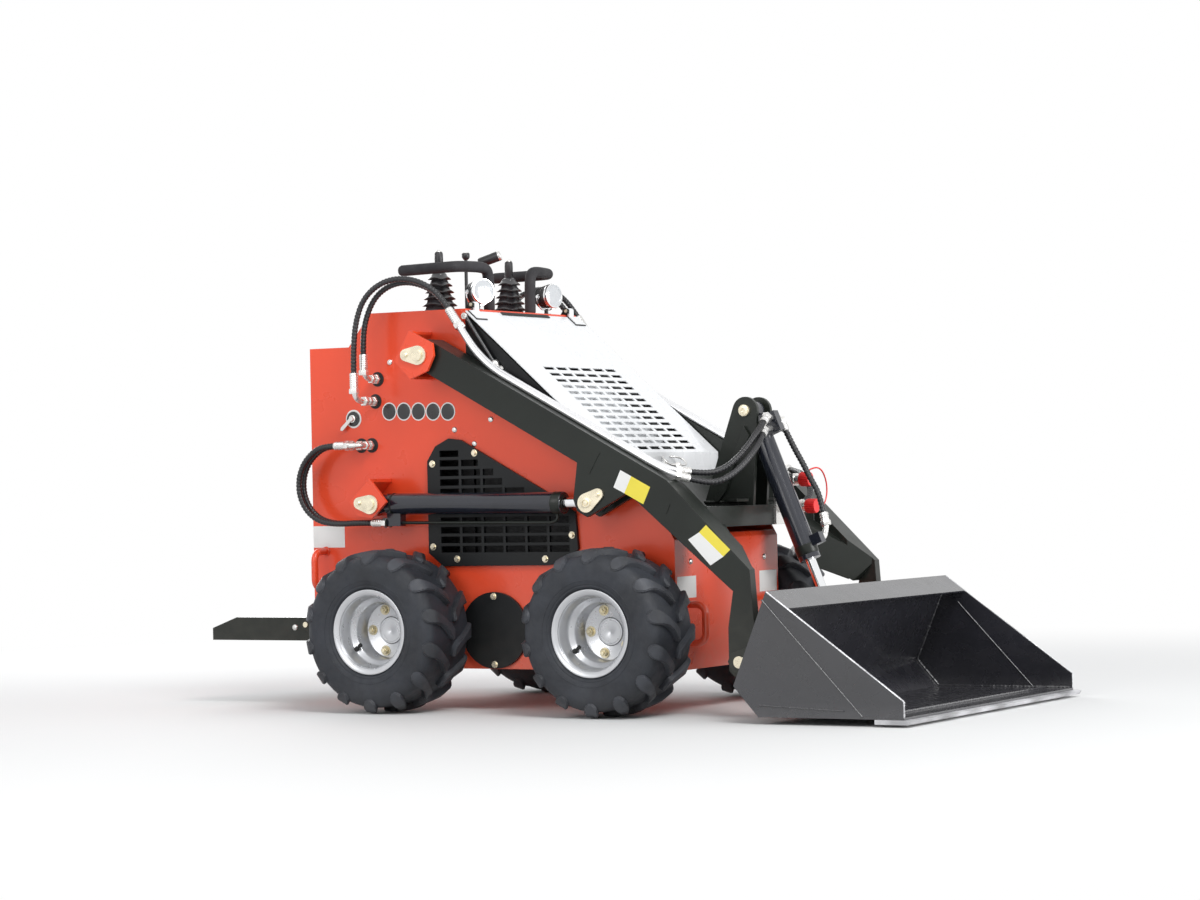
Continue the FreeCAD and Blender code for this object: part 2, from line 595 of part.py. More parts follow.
# Tower: two ears that hold the upper end of the tilt cylinder.
ears = []
for sign in SIDES.values():
    ear = plate("tower_ear", (
        (f"{CROSS[1]} - saddle_long + 4", SADDLE_TOP), (f"{CROSS[1]} - 2", SADDLE_TOP),
        (f"{CROSS[1]} - 4", SADDLE_TOP + " + 130"), ("tower_x + tower_r", "tower_z - 6"),
        ("tower_x + tower_r * 0.72", "tower_z + tower_r * 0.72"), ("tower_x", "tower_z + tower_r"),
        ("tower_x - tower_r * 0.72", "tower_z + tower_r * 0.72"), ("tower_x - tower_r", "tower_z")),
        "tower_plate", holes=(("tower_x", "tower_z", "pin_od + 0.2"),), member=True)
    place(ear, "mid_x + pivot_x", f"{sign} * (tower_y - tower_plate / 2)", "pivot_z")
    ears.append(ear)
gather("tower_ears", ears)

# Brackets on the side plates: an outer plate and two flanges round the arm's pivot and the lift
# cylinder's lower pin.
BRACKETS = (
    # name, pin x, pin z, corners round the pin: top, rear, bottom, then the front ones
    ("arm_bracket", "pivot_x", "pivot_z", ((-31, 70), (-81, -15), (-29, -66), (28, -45), (50, -3), (46, 32))),
    ("cylinder_bracket", "base_x", "base_z", ((-3, 72), (-73, 8), (-47, -32), (4, -39), (53, 6))),
)
BRACKET_DEEP = "(bracket_y - frame_y)"
for name, pin_x, pin_z, corners in BRACKETS:
    for side, sign in SIDES.items():
        bracket = new_body(f"{name}_{side}")
        shell = polygon(sketch_on(bracket, "XZ"), [(str(x), str(z)) for x, z in corners])
        pad(bracket, circle(shell, "0", "0", "pin_od + 0.2"), BRACKET_DEEP)
        top, rear, bottom = corners[:3]
        inner = [(f"{x} * 0.87", f"{z} * 0.87") for x, z in (top, rear, bottom)]
        inner += [(inner[2][0], "-200"), ("200", "-200"), ("200", "200"), (inner[0][0], "200")]
        pocket(bracket, polygon(sketch_on(bracket, "XZ", f"{sign} * bracket_plate / 2"), inner),
               f"{BRACKET_DEEP} - bracket_plate")
        place(bracket, f"mid_x + {pin_x}", f"{sign} * (bracket_y + frame_y) / 2", pin_z)

# Pins: each runs through its plates, and the pins of one moving body share a node.
def pin_between(x, y_low, y_high, z, diameter="pin_od"):
    pin = doc.addObject("Part::Cylinder", "pin")
    pin.setExpression("Radius", bound(f"{diameter} / 2"))
    pin.setExpression("Height", bound(f"({y_high}) - ({y_low})"))
    place(pin, x, y_high, z, "90", (1, 0, 0))
    return pin


def both_sides(x, y_inner, y_outer, z, diameter="pin_od"):
    """A pin on each side of the loader."""
    return [pin_between(x, y_inner, y_outer, z, diameter),
            pin_between(x, f"-({y_outer})", f"-({y_inner})", z, diameter)]


HINGE_END = "(hinge_wide / 2 + hinge_ear + 4)"
gather("frame_pins", both_sides("mid_x + pivot_x", "frame_y", "bracket_y + 12", "pivot_z")
       + both_sides("mid_x + base_x", "frame_y", "bracket_y + 12", "base_z")
       + both_sides("mid_x + hood_x + hinge_x", f"hinge_y - {HINGE_END}", f"hinge_y + {HINGE_END}",
                    "deck_z + hinge_up", "hinge_od"))

# Cylinders: a barrel with an eye at its pin, and a rod whose eye is held by the lug beyond.
def cylinder_pair(name, side, pin, far_pin, y, barrel_long, rod_start, ports):
    """Barrel and rod along the line from the pin to the far pin, with port blocks on the barrel."""
    reach = f"sqrt(({far_pin[0]} - ({pin[0]})) ^ 2 + ({far_pin[1]} - ({pin[1]})) ^ 2)"
    rise = f"-atan2({far_pin[1]} - ({pin[1]}); {far_pin[0]} - ({pin[0]}))"
    barrel = new_body(f"{name}_barrel{side}")
    pad(barrel, circle(circle(sketch_on(barrel, "XZ"), "0", "0", "eye_od"), "0", "0", "pin_od + 0.2"),
        "eye_wide")
    revolve(barrel, polygon(sketch_on(barrel, "XZ"), (
        ("eye_od / 2 - 3", "0"), ("eye_od / 2 + 25", "0"), ("eye_od / 2 + 25", "rod_od / 2 + rod_gap"),
        (barrel_long, "rod_od / 2 + rod_gap"), (barrel_long, "barrel_od / 2"),
        ("eye_od / 2 - 3", "barrel_od / 2"))))
    for start, end, low, high in ports:
        pad(barrel, polygon(sketch_on(barrel, "XZ"), (
            (start, low), (end, low), (end, high), (start, high))), "port_wide")
    rod = new_body(f"{name}_rod{side}")
    pad(rod, circle(circle(sketch_on(rod, "XZ"), reach, "0", "eye_od"), reach, "0", "pin_od + 2"),
        "eye_wide")
    revolve(rod, polygon(sketch_on(rod, "XZ"), (
        (rod_start, "0"), (f"{reach} - eye_od / 2 + 3", "0"),
        (f"{reach} - eye_od / 2 + 3", "rod_od / 2"), (rod_start, "rod_od / 2"))))
    for piece in (barrel, rod):
        place(piece, f"mid_x + {pin[0]}", y, pin[1], rise)
    return size(reach)


for side, sign in SIDES.items():
    cylinder_pair("lift", f"_{side}", ("base_x", "base_z"),
                  (f"(pivot_x + {ROD_PIN[0]})", f"(pivot_z + {ROD_PIN[1]})"), f"{sign} * arm_y",
                  "lift_barrel", "90", (("25", "70", "-lift_port_deep", "8 - barrel_od / 2"),))
TOWER = ("(pivot_x + tower_x)", "(pivot_z + tower_z)")
HITCH = ("(pivot_x + foot_x)", "(pivot_z + foot_z)")
cylinder_pair("tilt", "", TOWER, (f"({HITCH[0]} + hitch_pin_x)", f"({HITCH[1]} + hitch_pin_z)"), "0",
              "tilt_barrel", "120", (("28", "86", "barrel_od / 2 - 8", "tilt_port_high"),
                                     ("388", "418", "barrel_od / 2 - 8", "tilt_port_high - 8")))
ROD_PIN_PLACE = (f"mid_x + pivot_x + {ROD_PIN[0]}", f"pivot_z + {ROD_PIN[1]}")
EYE_SIDE = "(eye_wide / 2 + eye_gap)"
tower_pin = pin_between("mid_x + pivot_x + tower_x", "-tower_y - 8", "tower_y + 8", "pivot_z + tower_z")
gather("arm_pins", [tower_pin]
       + both_sides(ROD_PIN_PLACE[0], f"arm_y + {EYE_SIDE}", "arm_y + arm_wide / 2 + 8", ROD_PIN_PLACE[1])
       + both_sides(ROD_PIN_PLACE[0], "arm_y - arm_wide / 2 - 4", f"arm_y - {EYE_SIDE}", ROD_PIN_PLACE[1]))

# Bucket: a bent shell between two sides, with a flange along the top and a cutting edge.
BUCKET = (("back_x", "back_z"), ("heel_x", "toe_low"), ("toe_x", "toe_low"), ("toe_x", "toe_high"),
          ("brow_x", "brow_z"))
bucket = new_body("bucket")
pad(bucket, polygon(sketch_on(bucket, "XZ"), BUCKET), "2 * bucket_y")
RIM = "atan2(brow_z - toe_high; toe_x - brow_x)"
BROW_END = (f"brow_x + brow_deep * cos({RIM})", f"brow_z - brow_deep * sin({RIM})")
pocket(bucket, polygon(sketch_on(bucket, "XZ"), (
    ("back_x + bucket_sheet * 1.1", "back_z + 3"), ("heel_x + 3", "toe_low + bucket_sheet"),
    ("toe_x + 100", "toe_low + bucket_sheet"), ("toe_x + 100", "brow_z + 100"),
    (f"{BROW_END[0]} + 60", f"{BROW_END[1]} + 90"), BROW_END,
    (f"{BROW_END[0]} - bucket_sheet * sin({RIM})", f"{BROW_END[1]} - bucket_sheet * cos({RIM})"),
    ("brow_x + bucket_sheet * 1.5", "brow_z - bucket_sheet * 2"))),
    "2 * (bucket_y - bucket_sheet)")
place(bucket, f"mid_x + {HITCH[0]}", "0", HITCH[1])
edge = plate("cutting_edge", (
    ("edge_x - edge_deep", "toe_low - edge_thick"), ("edge_x - 8", "toe_low - edge_thick"),
    ("edge_x", "toe_low - 2"),
    ("edge_x - 12", "toe_low"), ("edge_x - edge_deep", "toe_low")), "2 * (bucket_y + edge_over)")
place(edge, f"mid_x + {HITCH[0]}", "0", HITCH[1])

# Hitch: a back plate against the bucket, with ears round the arms' feet and for the tilt rod.
BACK = "atan2(brow_z - back_z; brow_x - back_x)"


def on_back(x, z):
    """A point near the hitch pin as a distance up the bucket's back and one behind it."""
    along = f"(({x}) - back_x) * cos({BACK}) + (({z}) - back_z) * sin({BACK})"
    behind = f"(({z}) - back_z) * cos({BACK}) - (({x}) - back_x) * sin({BACK})"
    return along, behind


hitch_plate = new_body("hitch_plate", member=True)
pad(hitch_plate, polygon(sketch_on(hitch_plate, "XZ"), (
    ("12", "0"), ("hitch_high", "0"), ("hitch_high", "hitch_plate"), ("12", "hitch_plate"))), "2 * hitch_y")
pocket(hitch_plate, polygon(sketch_on(hitch_plate, "XZ"), (
    ("80", "-5"), ("hitch_high + 9", "-5"), ("hitch_high + 9", "60"), ("80", "60"))), f"2 * {EYE_SIDE}")
place(hitch_plate, f"mid_x + {HITCH[0]} + back_x", "0", f"{HITCH[1]} + back_z", f"-{BACK}")
hitch_solids = [hitch_plate]
FOOT_IN = "(arm_y + arm_wide / 2 - foot_thick)"
EAR_PLACES = (
    # pin's place, the ears' middles from the middle of the loader, reach up and down the back
    (("hitch_pin_x", "hitch_pin_z"), (f"{EYE_SIDE} + hitch_ear / 2",), 52, 62),
    (("0", "0"), (f"{FOOT_IN} - hitch_gap - hitch_ear / 2",
                  f"{FOOT_IN} + foot_thick + hitch_gap + hitch_ear / 2"), 90, 14),
)
for pin, middles, above, below in EAR_PLACES:
    along, behind = on_back(*pin)
    for middle in middles:
        for sign in SIDES.values():
            ear = new_body("hitch_ear", member=True)
            sketch = polygon(sketch_on(ear, "XZ"), (
                (f"{along} - {below}", "hitch_plate"), (f"{along} + {above}", "hitch_plate"),
                (f"{along} + hitch_r", f"{behind} + 8"), (f"{along} + 12", f"{behind} + hitch_r"),
                (f"{along} - 12", f"{behind} + hitch_r"), (f"{along} - hitch_r", f"{behind} + 8")))
            pad(ear, circle(sketch, along, behind, "pin_od + 0.2"), "hitch_ear")
            place(ear, f"mid_x + {HITCH[0]} + back_x", f"{sign} * ({middle})", f"{HITCH[1]} + back_z",
                  f"-{BACK}")
            hitch_solids.append(ear)
fuse("hitch", hitch_solids)
gather("hitch_pins", both_sides(f"mid_x + {HITCH[0]}", f"{FOOT_IN} - hitch_gap - hitch_ear - 4",
                                f"{FOOT_IN} + foot_thick + hitch_gap + hitch_ear + 4", HITCH[1])
       + both_sides(f"mid_x + {HITCH[0]} + hitch_pin_x", EYE_SIDE, f"{EYE_SIDE} + hitch_ear + 6",
                    f"{HITCH[1]} + hitch_pin_z"))

# Wheels: a turned rim with a disc and hub, and a tyre with slanting lugs.
def wheel(corner, x, sign):
    rim = new_body(f"rim_{corner}")
    flange = "(rim_od / 2)"
    half = "(rim_wide / 2)"
    revolve(rim, polygon(sketch_on(rim, "YZ"), (
        (half, flange), (f"{half} - rim_sheet", flange), (f"{half} - rim_sheet - 2", "bead_od / 2"),
        (f"-{half} + rim_sheet + 2", "bead_od / 2"), (f"-{half} + rim_sheet", flange), (f"-{half}", flange),
        (f"-{half}", "bead_od / 2 - rim_sheet"), ("disc_y - disc_thick", "well_od / 2 - rim_sheet"),
        ("disc_y - disc_thick", "spindle_od / 2 + spindle_gap"), ("disc_y", "spindle_od / 2 + spindle_gap"),
        ("disc_y + cap_long", "spindle_od / 2 + spindle_gap"), ("disc_y + cap_long", "0"),
        ("disc_y + cap_long + 5", "0"), ("disc_y + cap_long + 5", "cap_od / 2 - 4"),
        ("disc_y", "cap_od / 2"), ("disc_y", "well_od / 2 - rim_sheet"),
        (f"{half} - 62", "well_od / 2 - rim_sheet"), (f"{half} - 50", "bead_od / 2 - rim_sheet"),
        (half, "bead_od / 2 - rim_sheet"))))
    tyre = new_body(f"tyre_{corner}")
    crown = "(tyre_od / 2 - lug_high)"
    inside = "(bead_od / 2 + seat_gap)"
    lug_top = "(tyre_od / 2 - lug_flat)"
    section = polygon(sketch_on(tyre, "YZ"), (
        ("-crown_wide / 2", crown), ("crown_wide / 2", crown), ("tyre_wide / 2", f"{crown} - shoulder_drop"),
        (f"{half} - rim_sheet - seat_gap", "rim_od / 2 + seat_gap"),
        (f"{half} - rim_sheet - 2 - seat_gap", inside), (f"-{half} + rim_sheet + 2 + seat_gap", inside),
        (f"-{half} + rim_sheet + seat_gap", "rim_od / 2 + seat_gap"),
        ("-tyre_wide / 2", f"{crown} - shoulder_drop")))
    pad(tyre, section, f"2 * {crown} * tan(90 / lugs)")
    for turned in (1, -1):
        mitre = f"{turned} * {crown} * tan(90 / lugs)"
        pocket(tyre, polygon(sketch_on(tyre, "XZ"), (
            ("0", "0"), (mitre, crown), (f"2 * {mitre}", crown), (f"2 * {mitre}", "0"))), "2 * tyre_wide")
    ring = tyre.newObject("PartDesign::PolarPattern", f"{tyre.Name}_ring")
    ring.TransformMode = "Whole shape"
    ring.Axis = ({f.Role: f for f in tyre.Origin.OriginFeatures}["Y_Axis"], [""])
    ring.Angle = 360
    ring.setExpression("Occurrences", bound("2 * lugs"))
    tyre.Tip = ring
    doc.recompute()
    for half_tread in (1, -1):
        slant = half_tread * size("lug_slant")
        stagger = 0 if half_tread > 0 else 180 / size("lugs")
        lug = sketch_on(tyre, "YZ")
        middle = Vector(half_tread * size("(lug_inner + crown_wide / 2) / 2"), 0, 0)
        turned = FreeCAD.Rotation(Vector(1, 0, 0), stagger)
        slanted = FreeCAD.Rotation(Vector(0, 1, 0), slant)
        lug.AttachmentOffset = FreeCAD.Placement(
            turned.multVec(middle - slanted.multVec(middle)), turned.multiply(slanted))
        polygon(lug, (
            (f"{half_tread} * lug_inner", f"{crown} - lug_sunk"), (f"{half_tread} * lug_inner", lug_top),
            (f"{half_tread} * crown_wide / 2", lug_top),
            (f"{half_tread} * (tyre_wide / 2 - 1)", f"{crown} - shoulder_drop + 20"),
            (f"{half_tread} * (tyre_wide / 2 - 1)", f"{crown} - shoulder_drop - 4"),
            (f"{half_tread} * crown_wide / 2", f"{crown} - lug_sunk")))
        bar = pad(tyre, lug, "lug_thick")
        ring = tyre.newObject("PartDesign::PolarPattern", f"{tyre.Name}_ring")
        ring.Originals = [bar]
        ring.Axis = ({f.Role: f for f in tyre.Origin.OriginFeatures}["Y_Axis"], [""])
        ring.Angle = 360
        ring.setExpression("Occurrences", bound("lugs"))
        tyre.Tip = ring
        doc.recompute()
    for piece in (rim, tyre):
        place(piece, x, f"{sign} * wheel_y", "tyre_od / 2", "0" if sign > 0 else "180", (0, 0, 1))
    motor = new_body("wheel_motor", member=True)
    revolve(motor, polygon(sketch_on(motor, "YZ"), (
        ("frame_y - wheel_y", "0"), ("frame_y - wheel_y", "motor_od / 2"),
        ("frame_y - wheel_y + motor_thick", "motor_od / 2"),
        ("frame_y - wheel_y + motor_thick", "spindle_od / 2 + 12"),
        ("disc_y - hub_deep - 8", "spindle_od / 2 + 12"), ("disc_y - hub_deep - 8", "spindle_od / 2"),
        ("disc_y + cap_long - 6", "spindle_od / 2"), ("disc_y + cap_long - 6", "0"))))
    place(motor, x, f"{sign} * wheel_y", "tyre_od / 2", "0" if sign > 0 else "180", (0, 0, 1))
    motors.append(motor)


motors = []
for corner, fore, sign in (("FR", 1, -1), ("FL", 1, 1), ("RR", -1, -1), ("RL", -1, 1)):
    wheel(corner, f"mid_x + {fore} * wheelbase / 2", sign)
gather("wheel_motors", motors)

# Rear platform: a folded plate that swings up about two pins behind the frame.
platform = new_body("platform")
END = "(step_root - step_long)"
pad(platform, circle(polygon(sketch_on(platform, "XZ"), (
    ("step_root", "-step_below"), ("step_root", "step_above"), (f"{END} + step_taper", "step_above"),
    (END, "-step_below + step_tip"), (END, "-step_below"))), "0", "0", "step_pin_od + 0.2"), "2 * step_y")
pocket(platform, polygon(sketch_on(platform, "XZ"), (
    ("step_root + 9", "-step_below - 9"), ("step_root + 9", "step_above - step_sheet"),
    (f"{END} + step_taper + 2", "step_above - step_sheet"),
    (f"{END} + step_sheet", "-step_below + step_tip - step_sheet / 2"),
    (f"{END} + step_sheet", "-step_below - 9"))), "2 * (step_y - step_sheet)")
place(platform, "mid_x + step_pin_x", "0", "step_pin_z")
hangers = []
for sign in SIDES.values():
    hanger = plate("platform_hanger", (
        ("rear_x - step_pin_x", "-30"), ("rear_x - step_pin_x", "22"), ("-12", "17"), ("-17", "-4"),
        ("-12", "-14")),
        "step_sheet * 2", holes=(("0", "0", "step_pin_od + 0.2"),), member=True)
    place(hanger, "mid_x + step_pin_x", f"{sign} * (step_y + step_gap + step_sheet)", "step_pin_z")
    hangers.append(hanger)
gather("platform_hangers", hangers)
step_pins = []
for sign in SIDES.values():
    inner, outer = "(step_y - 14)", "(step_y + step_gap + step_sheet * 2 + 3)"
    low, high = (inner, outer) if sign > 0 else (f"-{outer}", f"-{inner}")
    step_pins.append(pin_between("mid_x + step_pin_x", low, high, "step_pin_z", "step_pin_od"))
gather("platform_pins", step_pins)

# Tie-down loops: bent bars welded to the front plate and to the side plates.
def tie_loop(x, y, z, outward):
    """A bent bar whose two legs stand on a plate."""
    foot = Vector(size(x), size(y), size(z))
    reach = Vector(*outward) * size("loop_out")
    leg = Vector(0, 0, size("loop_high") / 2)
    return tube_along((foot - leg, foot - leg + reach, foot + leg + reach, foot + leg), size("loop_od"))


loops = []
for sign in SIDES.values():
    loops.append(tie_loop("front_x", f"{sign} * front_loop_y", "front_loop_z", (1, 0, 0)))
    loops.append(tie_loop("rear_loop_x", f"{sign} * frame_y", "rear_loop_z", (0, sign, 0)))
place(shape_piece("tie_loops", loops), "mid_x", "0", "0")

# Hand bars: padded tubes that rise from the deck, turn outwards and run rearwards.
bars = []
for sign in SIDES.values():
    foot = Vector(size("bar_x"), sign * size("bar_foot_y"), size("deck_z"))
    bend = Vector(foot.x, foot.y, size("bar_z"))
    outer = Vector(foot.x, sign * size("bar_end_y"), size("bar_z"))
    bars.append(tube_along((foot, bend, outer, outer - Vector(size("bar_back"), 0, 0)), size("bar_od")))
place(shape_piece("hand_bars", bars), "mid_x", "0", "0")

# Work lamps: round housings on short posts.
lamps = []
for sign in SIDES.values():
    lamp = new_body("work_lamp", member=True)
    revolve(lamp, polygon(sketch_on(lamp, "XZ"), (
        ("0", "0"), ("0", "lamp_od / 2 - 3"), ("3", "lamp_od / 2 - 3"), ("3", "lamp_od / 2"),
        ("-16", "lamp_od / 2"),
        ("-lamp_long + 18", "lamp_od / 2 - 5"), ("-lamp_long", "lamp_od / 4"), ("-lamp_long", "0"))))
    post = sketch_on(lamp, "XY", "deck_z - lamp_z")
    pad(lamp, circle(post, "-lamp_long / 2", "0", "14"), "lamp_z - deck_z", "One side")
    place(lamp, "mid_x + lamp_x", f"{sign} * lamp_y", "lamp_z")
    lamps.append(lamp)
gather("work_lamps", lamps)

# Lever boots: square bellows that narrow upwards, each with a lever through its top.
boots = []
levers = []
for sign in SIDES.values():
    folds = 5
    rings = []
    for level in range(2 * folds + 1):
        share = level / (2 * folds)
        width = size("boot_wide") * (1 - 0.42 * share) - (10 if level % 2 else 0)
        height = size("boot_high") * share
        half = width / 2
        rings.append(Part.makePolygon([Vector(-half, -half, height), Vector(half, -half, height),
                                       Vector(half, half, height), Vector(-half, half, height),
                                       Vector(-half, -half, height)]))
    boot = Part.makeLoft(rings, True, True)
    boot.translate(Vector(0, sign * size("boot_y"), 0))
    boots.append(boot)
    lever = new_body("lever", member=True)
    revolve(lever, polygon(sketch_on(lever, "XZ"), (
        ("0", "0"), ("6", "0"), ("6", "lever_high - grip_long"), ("10", "lever_high - grip_long + 5"),
        ("grip_od / 2", "lever_high - 14"), ("9", "lever_high"), ("0", "lever_high"))), "V_Axis")
    place(lever, "mid_x + boot_x", f"{sign} * boot_y", "deck_z + boot_high")
    levers.append(lever)
place(shape_piece("lever_boots", boots), "mid_x + boot_x", "0", "deck_z")

# Between the boots: a throttle rod with a knob, and a lever with a slanting grip.
throttle = new_body("throttle", member=True)
revolve(throttle, polygon(sketch_on(throttle, "XZ"), (
    ("0", "0"), ("5", "0"), ("5", "throttle_high - 22"), ("grip_od / 2", "throttle_high - 15"),
    ("grip_od / 2", "throttle_high - 4"), ("7", "throttle_high"), ("0", "throttle_high"))), "V_Axis")
place(throttle, "mid_x + throttle_x", "-throttle_y", "deck_z")
levers.append(throttle)
tip = Vector(size("tip_x"), size("tip_y"), size("tip_z"))
heel = tip - Vector(51, 22, 26)
slanting = doc.addObject("Part::Feature", "slanting_lever")
slanting.Shape = Part.makeCylinder(size("grip_od / 2 + 1"), (tip - heel).Length, heel, tip - heel).fuse(
    Part.makeCylinder(5, heel.z + 8 - size("deck_z"), Vector(heel.x + 12, heel.y + 6, size("deck_z"))))
place(slanting, "mid_x", "0", "0")
levers.append(slanting)
gather("control_levers", levers)

# Covers on the side plates: a slotted cover over the engine, and a round one low down. The slots keep
# clear of the cover's long slope, so the upper rows are shorter.
COVER = (("-243", "404"), ("102", "405"), ("160", "415"), ("199", "449"), ("192", "551"), ("91", "613"),
         ("-178", "758"), ("-218", "763"), ("-262", "742"), ("-290", "700"), ("-290", "441"))
COVER_FALL = (758 - 613) / (91 + 178)
covers = []
slots = []
for sign in SIDES.values():
    cover = plate("side_grille", COVER, "cover_thick", member=True)
    place(cover, "mid_x", f"{sign} * (frame_y + cover_thick / 2)", "0")
    disc = new_body("round_cover", member=True)
    pad(disc, circle(sketch_on(disc, "XZ"), "0", "0", "round_cover_od"), "cover_thick")
    place(disc, "mid_x + round_cover_x", f"{sign} * (frame_y + cover_thick / 2)", "round_cover_z")
    covers += [cover, disc]
    for row in range(int(size("grille_rows"))):
        top = f"grille_z - {row} * grille_pitch_z"
        last_x = (758 - size(f"{top} + grille_margin")) / COVER_FALL - 178
        for column in range(int(size("grille_columns"))):
            start = f"grille_x + {column} * grille_pitch_x"
            if last_x - size(start) > 20:
                long = f"min(grille_wide; {last_x - size(start):.1f})"
                slots.append(block("grille_slot", (long, "cover_thick * 4", "grille_high"), (
                    f"mid_x + {start}", f"{sign} * frame_y - cover_thick * 2", f"{top} - grille_high")))
covers_solid = doc.addObject("Part::Compound", "covers_solid")
covers_solid.Links = covers
cut("side_covers", covers_solid, slots)

# Pipes and hoses. Their points are forwards of midway, outwards from the middle and upwards, for the
# left side where a pair is mirrored. A hose ends where its fitting starts, in line with it.
def mirrored(points, sign):
    """Points given for the left side, for either side."""
    return [Vector(point[0], sign * point[1], point[2]) for point in points]


def in_line(points, start_from=None, end_to=None):
    """The route with its first and last runs in line with the fittings it meets."""
    points = [Vector(*point) for point in points]
    if start_from:
        ahead = (points[0] - Vector(*start_from)).normalize()
        points[1] = points[0] + ahead * (points[1] - points[0]).Length
    if end_to:
        ahead = (points[-1] - Vector(*end_to)).normalize()
        points[-2] = points[-1] + ahead * (points[-2] - points[-1]).Length
    return points


def sleeved(points, diameter, sleeve_start=0, sleeve_end=0):
    """A pipe with a sleeve of the given length over its first or last stretch."""
    points = [Vector(*point) for point in points]
    tube = tube_along(points, diameter)
    for length, tip, inner in ((sleeve_start, points[0], points[1]), (sleeve_end, points[-1], points[-2])):
        if length:
            tube = tube.fuse(Part.makeCylinder(size("fitting_od") / 2, length, tip, inner - tip))
    return tube


# Two steel pipes on each arm, from a riser behind its pivot to beyond the knee.
PIPE_ABOVE = "-(pipe_od / 2 + pipe_gap)"
RISER_TOPS = ((-180, 357, 1122), (-190, 333, 1118))
RISER_FEET = []
for top, run in zip(RISER_TOPS, (160, 152)):
    foot_x, foot_z = on_arm(str(run), PIPE_ABOVE)
    RISER_FEET.append((size(f"pivot_x + {foot_x}"), top[1], size(f"pivot_z + {foot_z}")))
KNEE_BENDS = ((523, 357, 649), (511, 334, 661))
PIPE_ENDS = ((556, 330, 637), (545, 304, 655))
for side, sign in SIDES.items():
    pipes = []
    for top, foot, bend, end in zip(RISER_TOPS, RISER_FEET, KNEE_BENDS, PIPE_ENDS):
        last_x, last_z = on_arm("knee_run - 80", PIPE_ABOVE)
        route = (top, foot, (size(f"pivot_x + {last_x}"), top[1], size(f"pivot_z + {last_z}")), bend, end)
        pipes.append(sleeved(mirrored(route, sign), size("pipe_od"), 46, 30))
    place(shape_piece(f"arm_pipes_{side}", pipes), "mid_x", "0", "0")

# Elbows on the side plates, with the hoses that loop from them over to the risers.
ELBOWS = (
    # forwards of midway, hole's height, elbow's run from the middle, elbow's top
    (-468, 875, 412, 950),
    (-459, 938, 375, 1003),
)
ARM_LOOPS = (
    ((-467, 408, 1026), (-463, 403, 1105), (-441, 396, 1166), (-390, 387, 1207), (-324, 377, 1219),
     (-262, 368, 1203), (-214, 361, 1166)),
    ((-458, 372, 1063), (-450, 367, 1120), (-425, 361, 1170), (-383, 354, 1200), (-327, 347, 1209),
     (-273, 341, 1196), (-228, 336, 1163)),
)
# Each lift cylinder's two hoses, from elbows on the side plate round behind it to its port block.
CYLINDER_LANES = (
    # from the middle, elbow's hole forwards of midway
    (349, -519),
    (373, -483),
)
CYLINDER_LOOP = (
    (-562, 750), (-606, 749), (-646, 732), (-677, 701), (-694, 661), (-694, 617), (-677, 577),
    (-646, 547), (-606, 532), (-555, 527), (-500, 530), (-448, 529))
PORT_DEEP = 53
base = Vector(size("base_x"), 0, size("base_z"))
rod_end = Vector(size(f"pivot_x + {ROD_PIN[0]}"), 0, size(f"pivot_z + {ROD_PIN[1]}"))
barrel_ahead = (rod_end - base).normalize()
barrel_up = Vector(-barrel_ahead.z, 0, barrel_ahead.x)
port = base + barrel_ahead * 25 - barrel_up * PORT_DEEP
elbows = []
for side, sign in SIDES.items():
    hoses = []
    for (x, hole_z, y, top), points, end, foot in zip(ELBOWS, ARM_LOOPS, RISER_TOPS, RISER_FEET):
        elbow = ((x, size("frame_y"), hole_z), (x, y, hole_z), (x, y, top))
        elbows.append(sleeved(mirrored(elbow, sign), size("pipe_od"), 0, 40))
        route = in_line((elbow[2], *points, end), elbow[1], foot)
        hoses.append(tube_along(mirrored(route, sign), size("hose_od")))
    place(shape_piece(f"arm_hoses_{side}", hoses), "mid_x", "0", "0")
    hoses = []
    lines = []
    for y, hole_x in CYLINDER_LANES:
        start_x, start_z = CYLINDER_LOOP[0]
        elbow = ((hole_x, size("frame_y"), start_z), (hole_x, y, start_z), (start_x, y, start_z))
        elbows.append(sleeved(mirrored(elbow, sign), size("pipe_od"), 0, 30))
        face = port + Vector(0, y, 0)
        end = face - barrel_ahead * size("ferrule_long")
        route = in_line(((x, y, z) for x, z in CYLINDER_LOOP[:-1] + ((end.x, end.z),)), elbow[1], face)
        hoses.append(tube_along(mirrored(route, sign), size("hose_od")))
        lines.append(sleeved(mirrored((end, face), sign), size("fitting_od")))
    lane = Vector(0, sum(y for y, hole_x in CYLINDER_LANES) / 2, 0)
    gland = base + barrel_ahead * size("lift_barrel - 22") + lane
    lines.append(tube_along(mirrored((
        port + barrel_ahead * 45 + lane, gland - barrel_ahead * 16 - barrel_up * PORT_DEEP,
        gland - barrel_up * 45, gland - barrel_up * (size("barrel_od") / 2)), sign), size("tube_od")))
    place(shape_piece(f"cylinder_hoses_{side}", hoses), "mid_x", "0", "0")
    place(shape_piece(f"cylinder_lines_{side}", lines), "mid_x", "0", "0")
place(shape_piece("side_elbows", elbows), "mid_x", "0", "0")

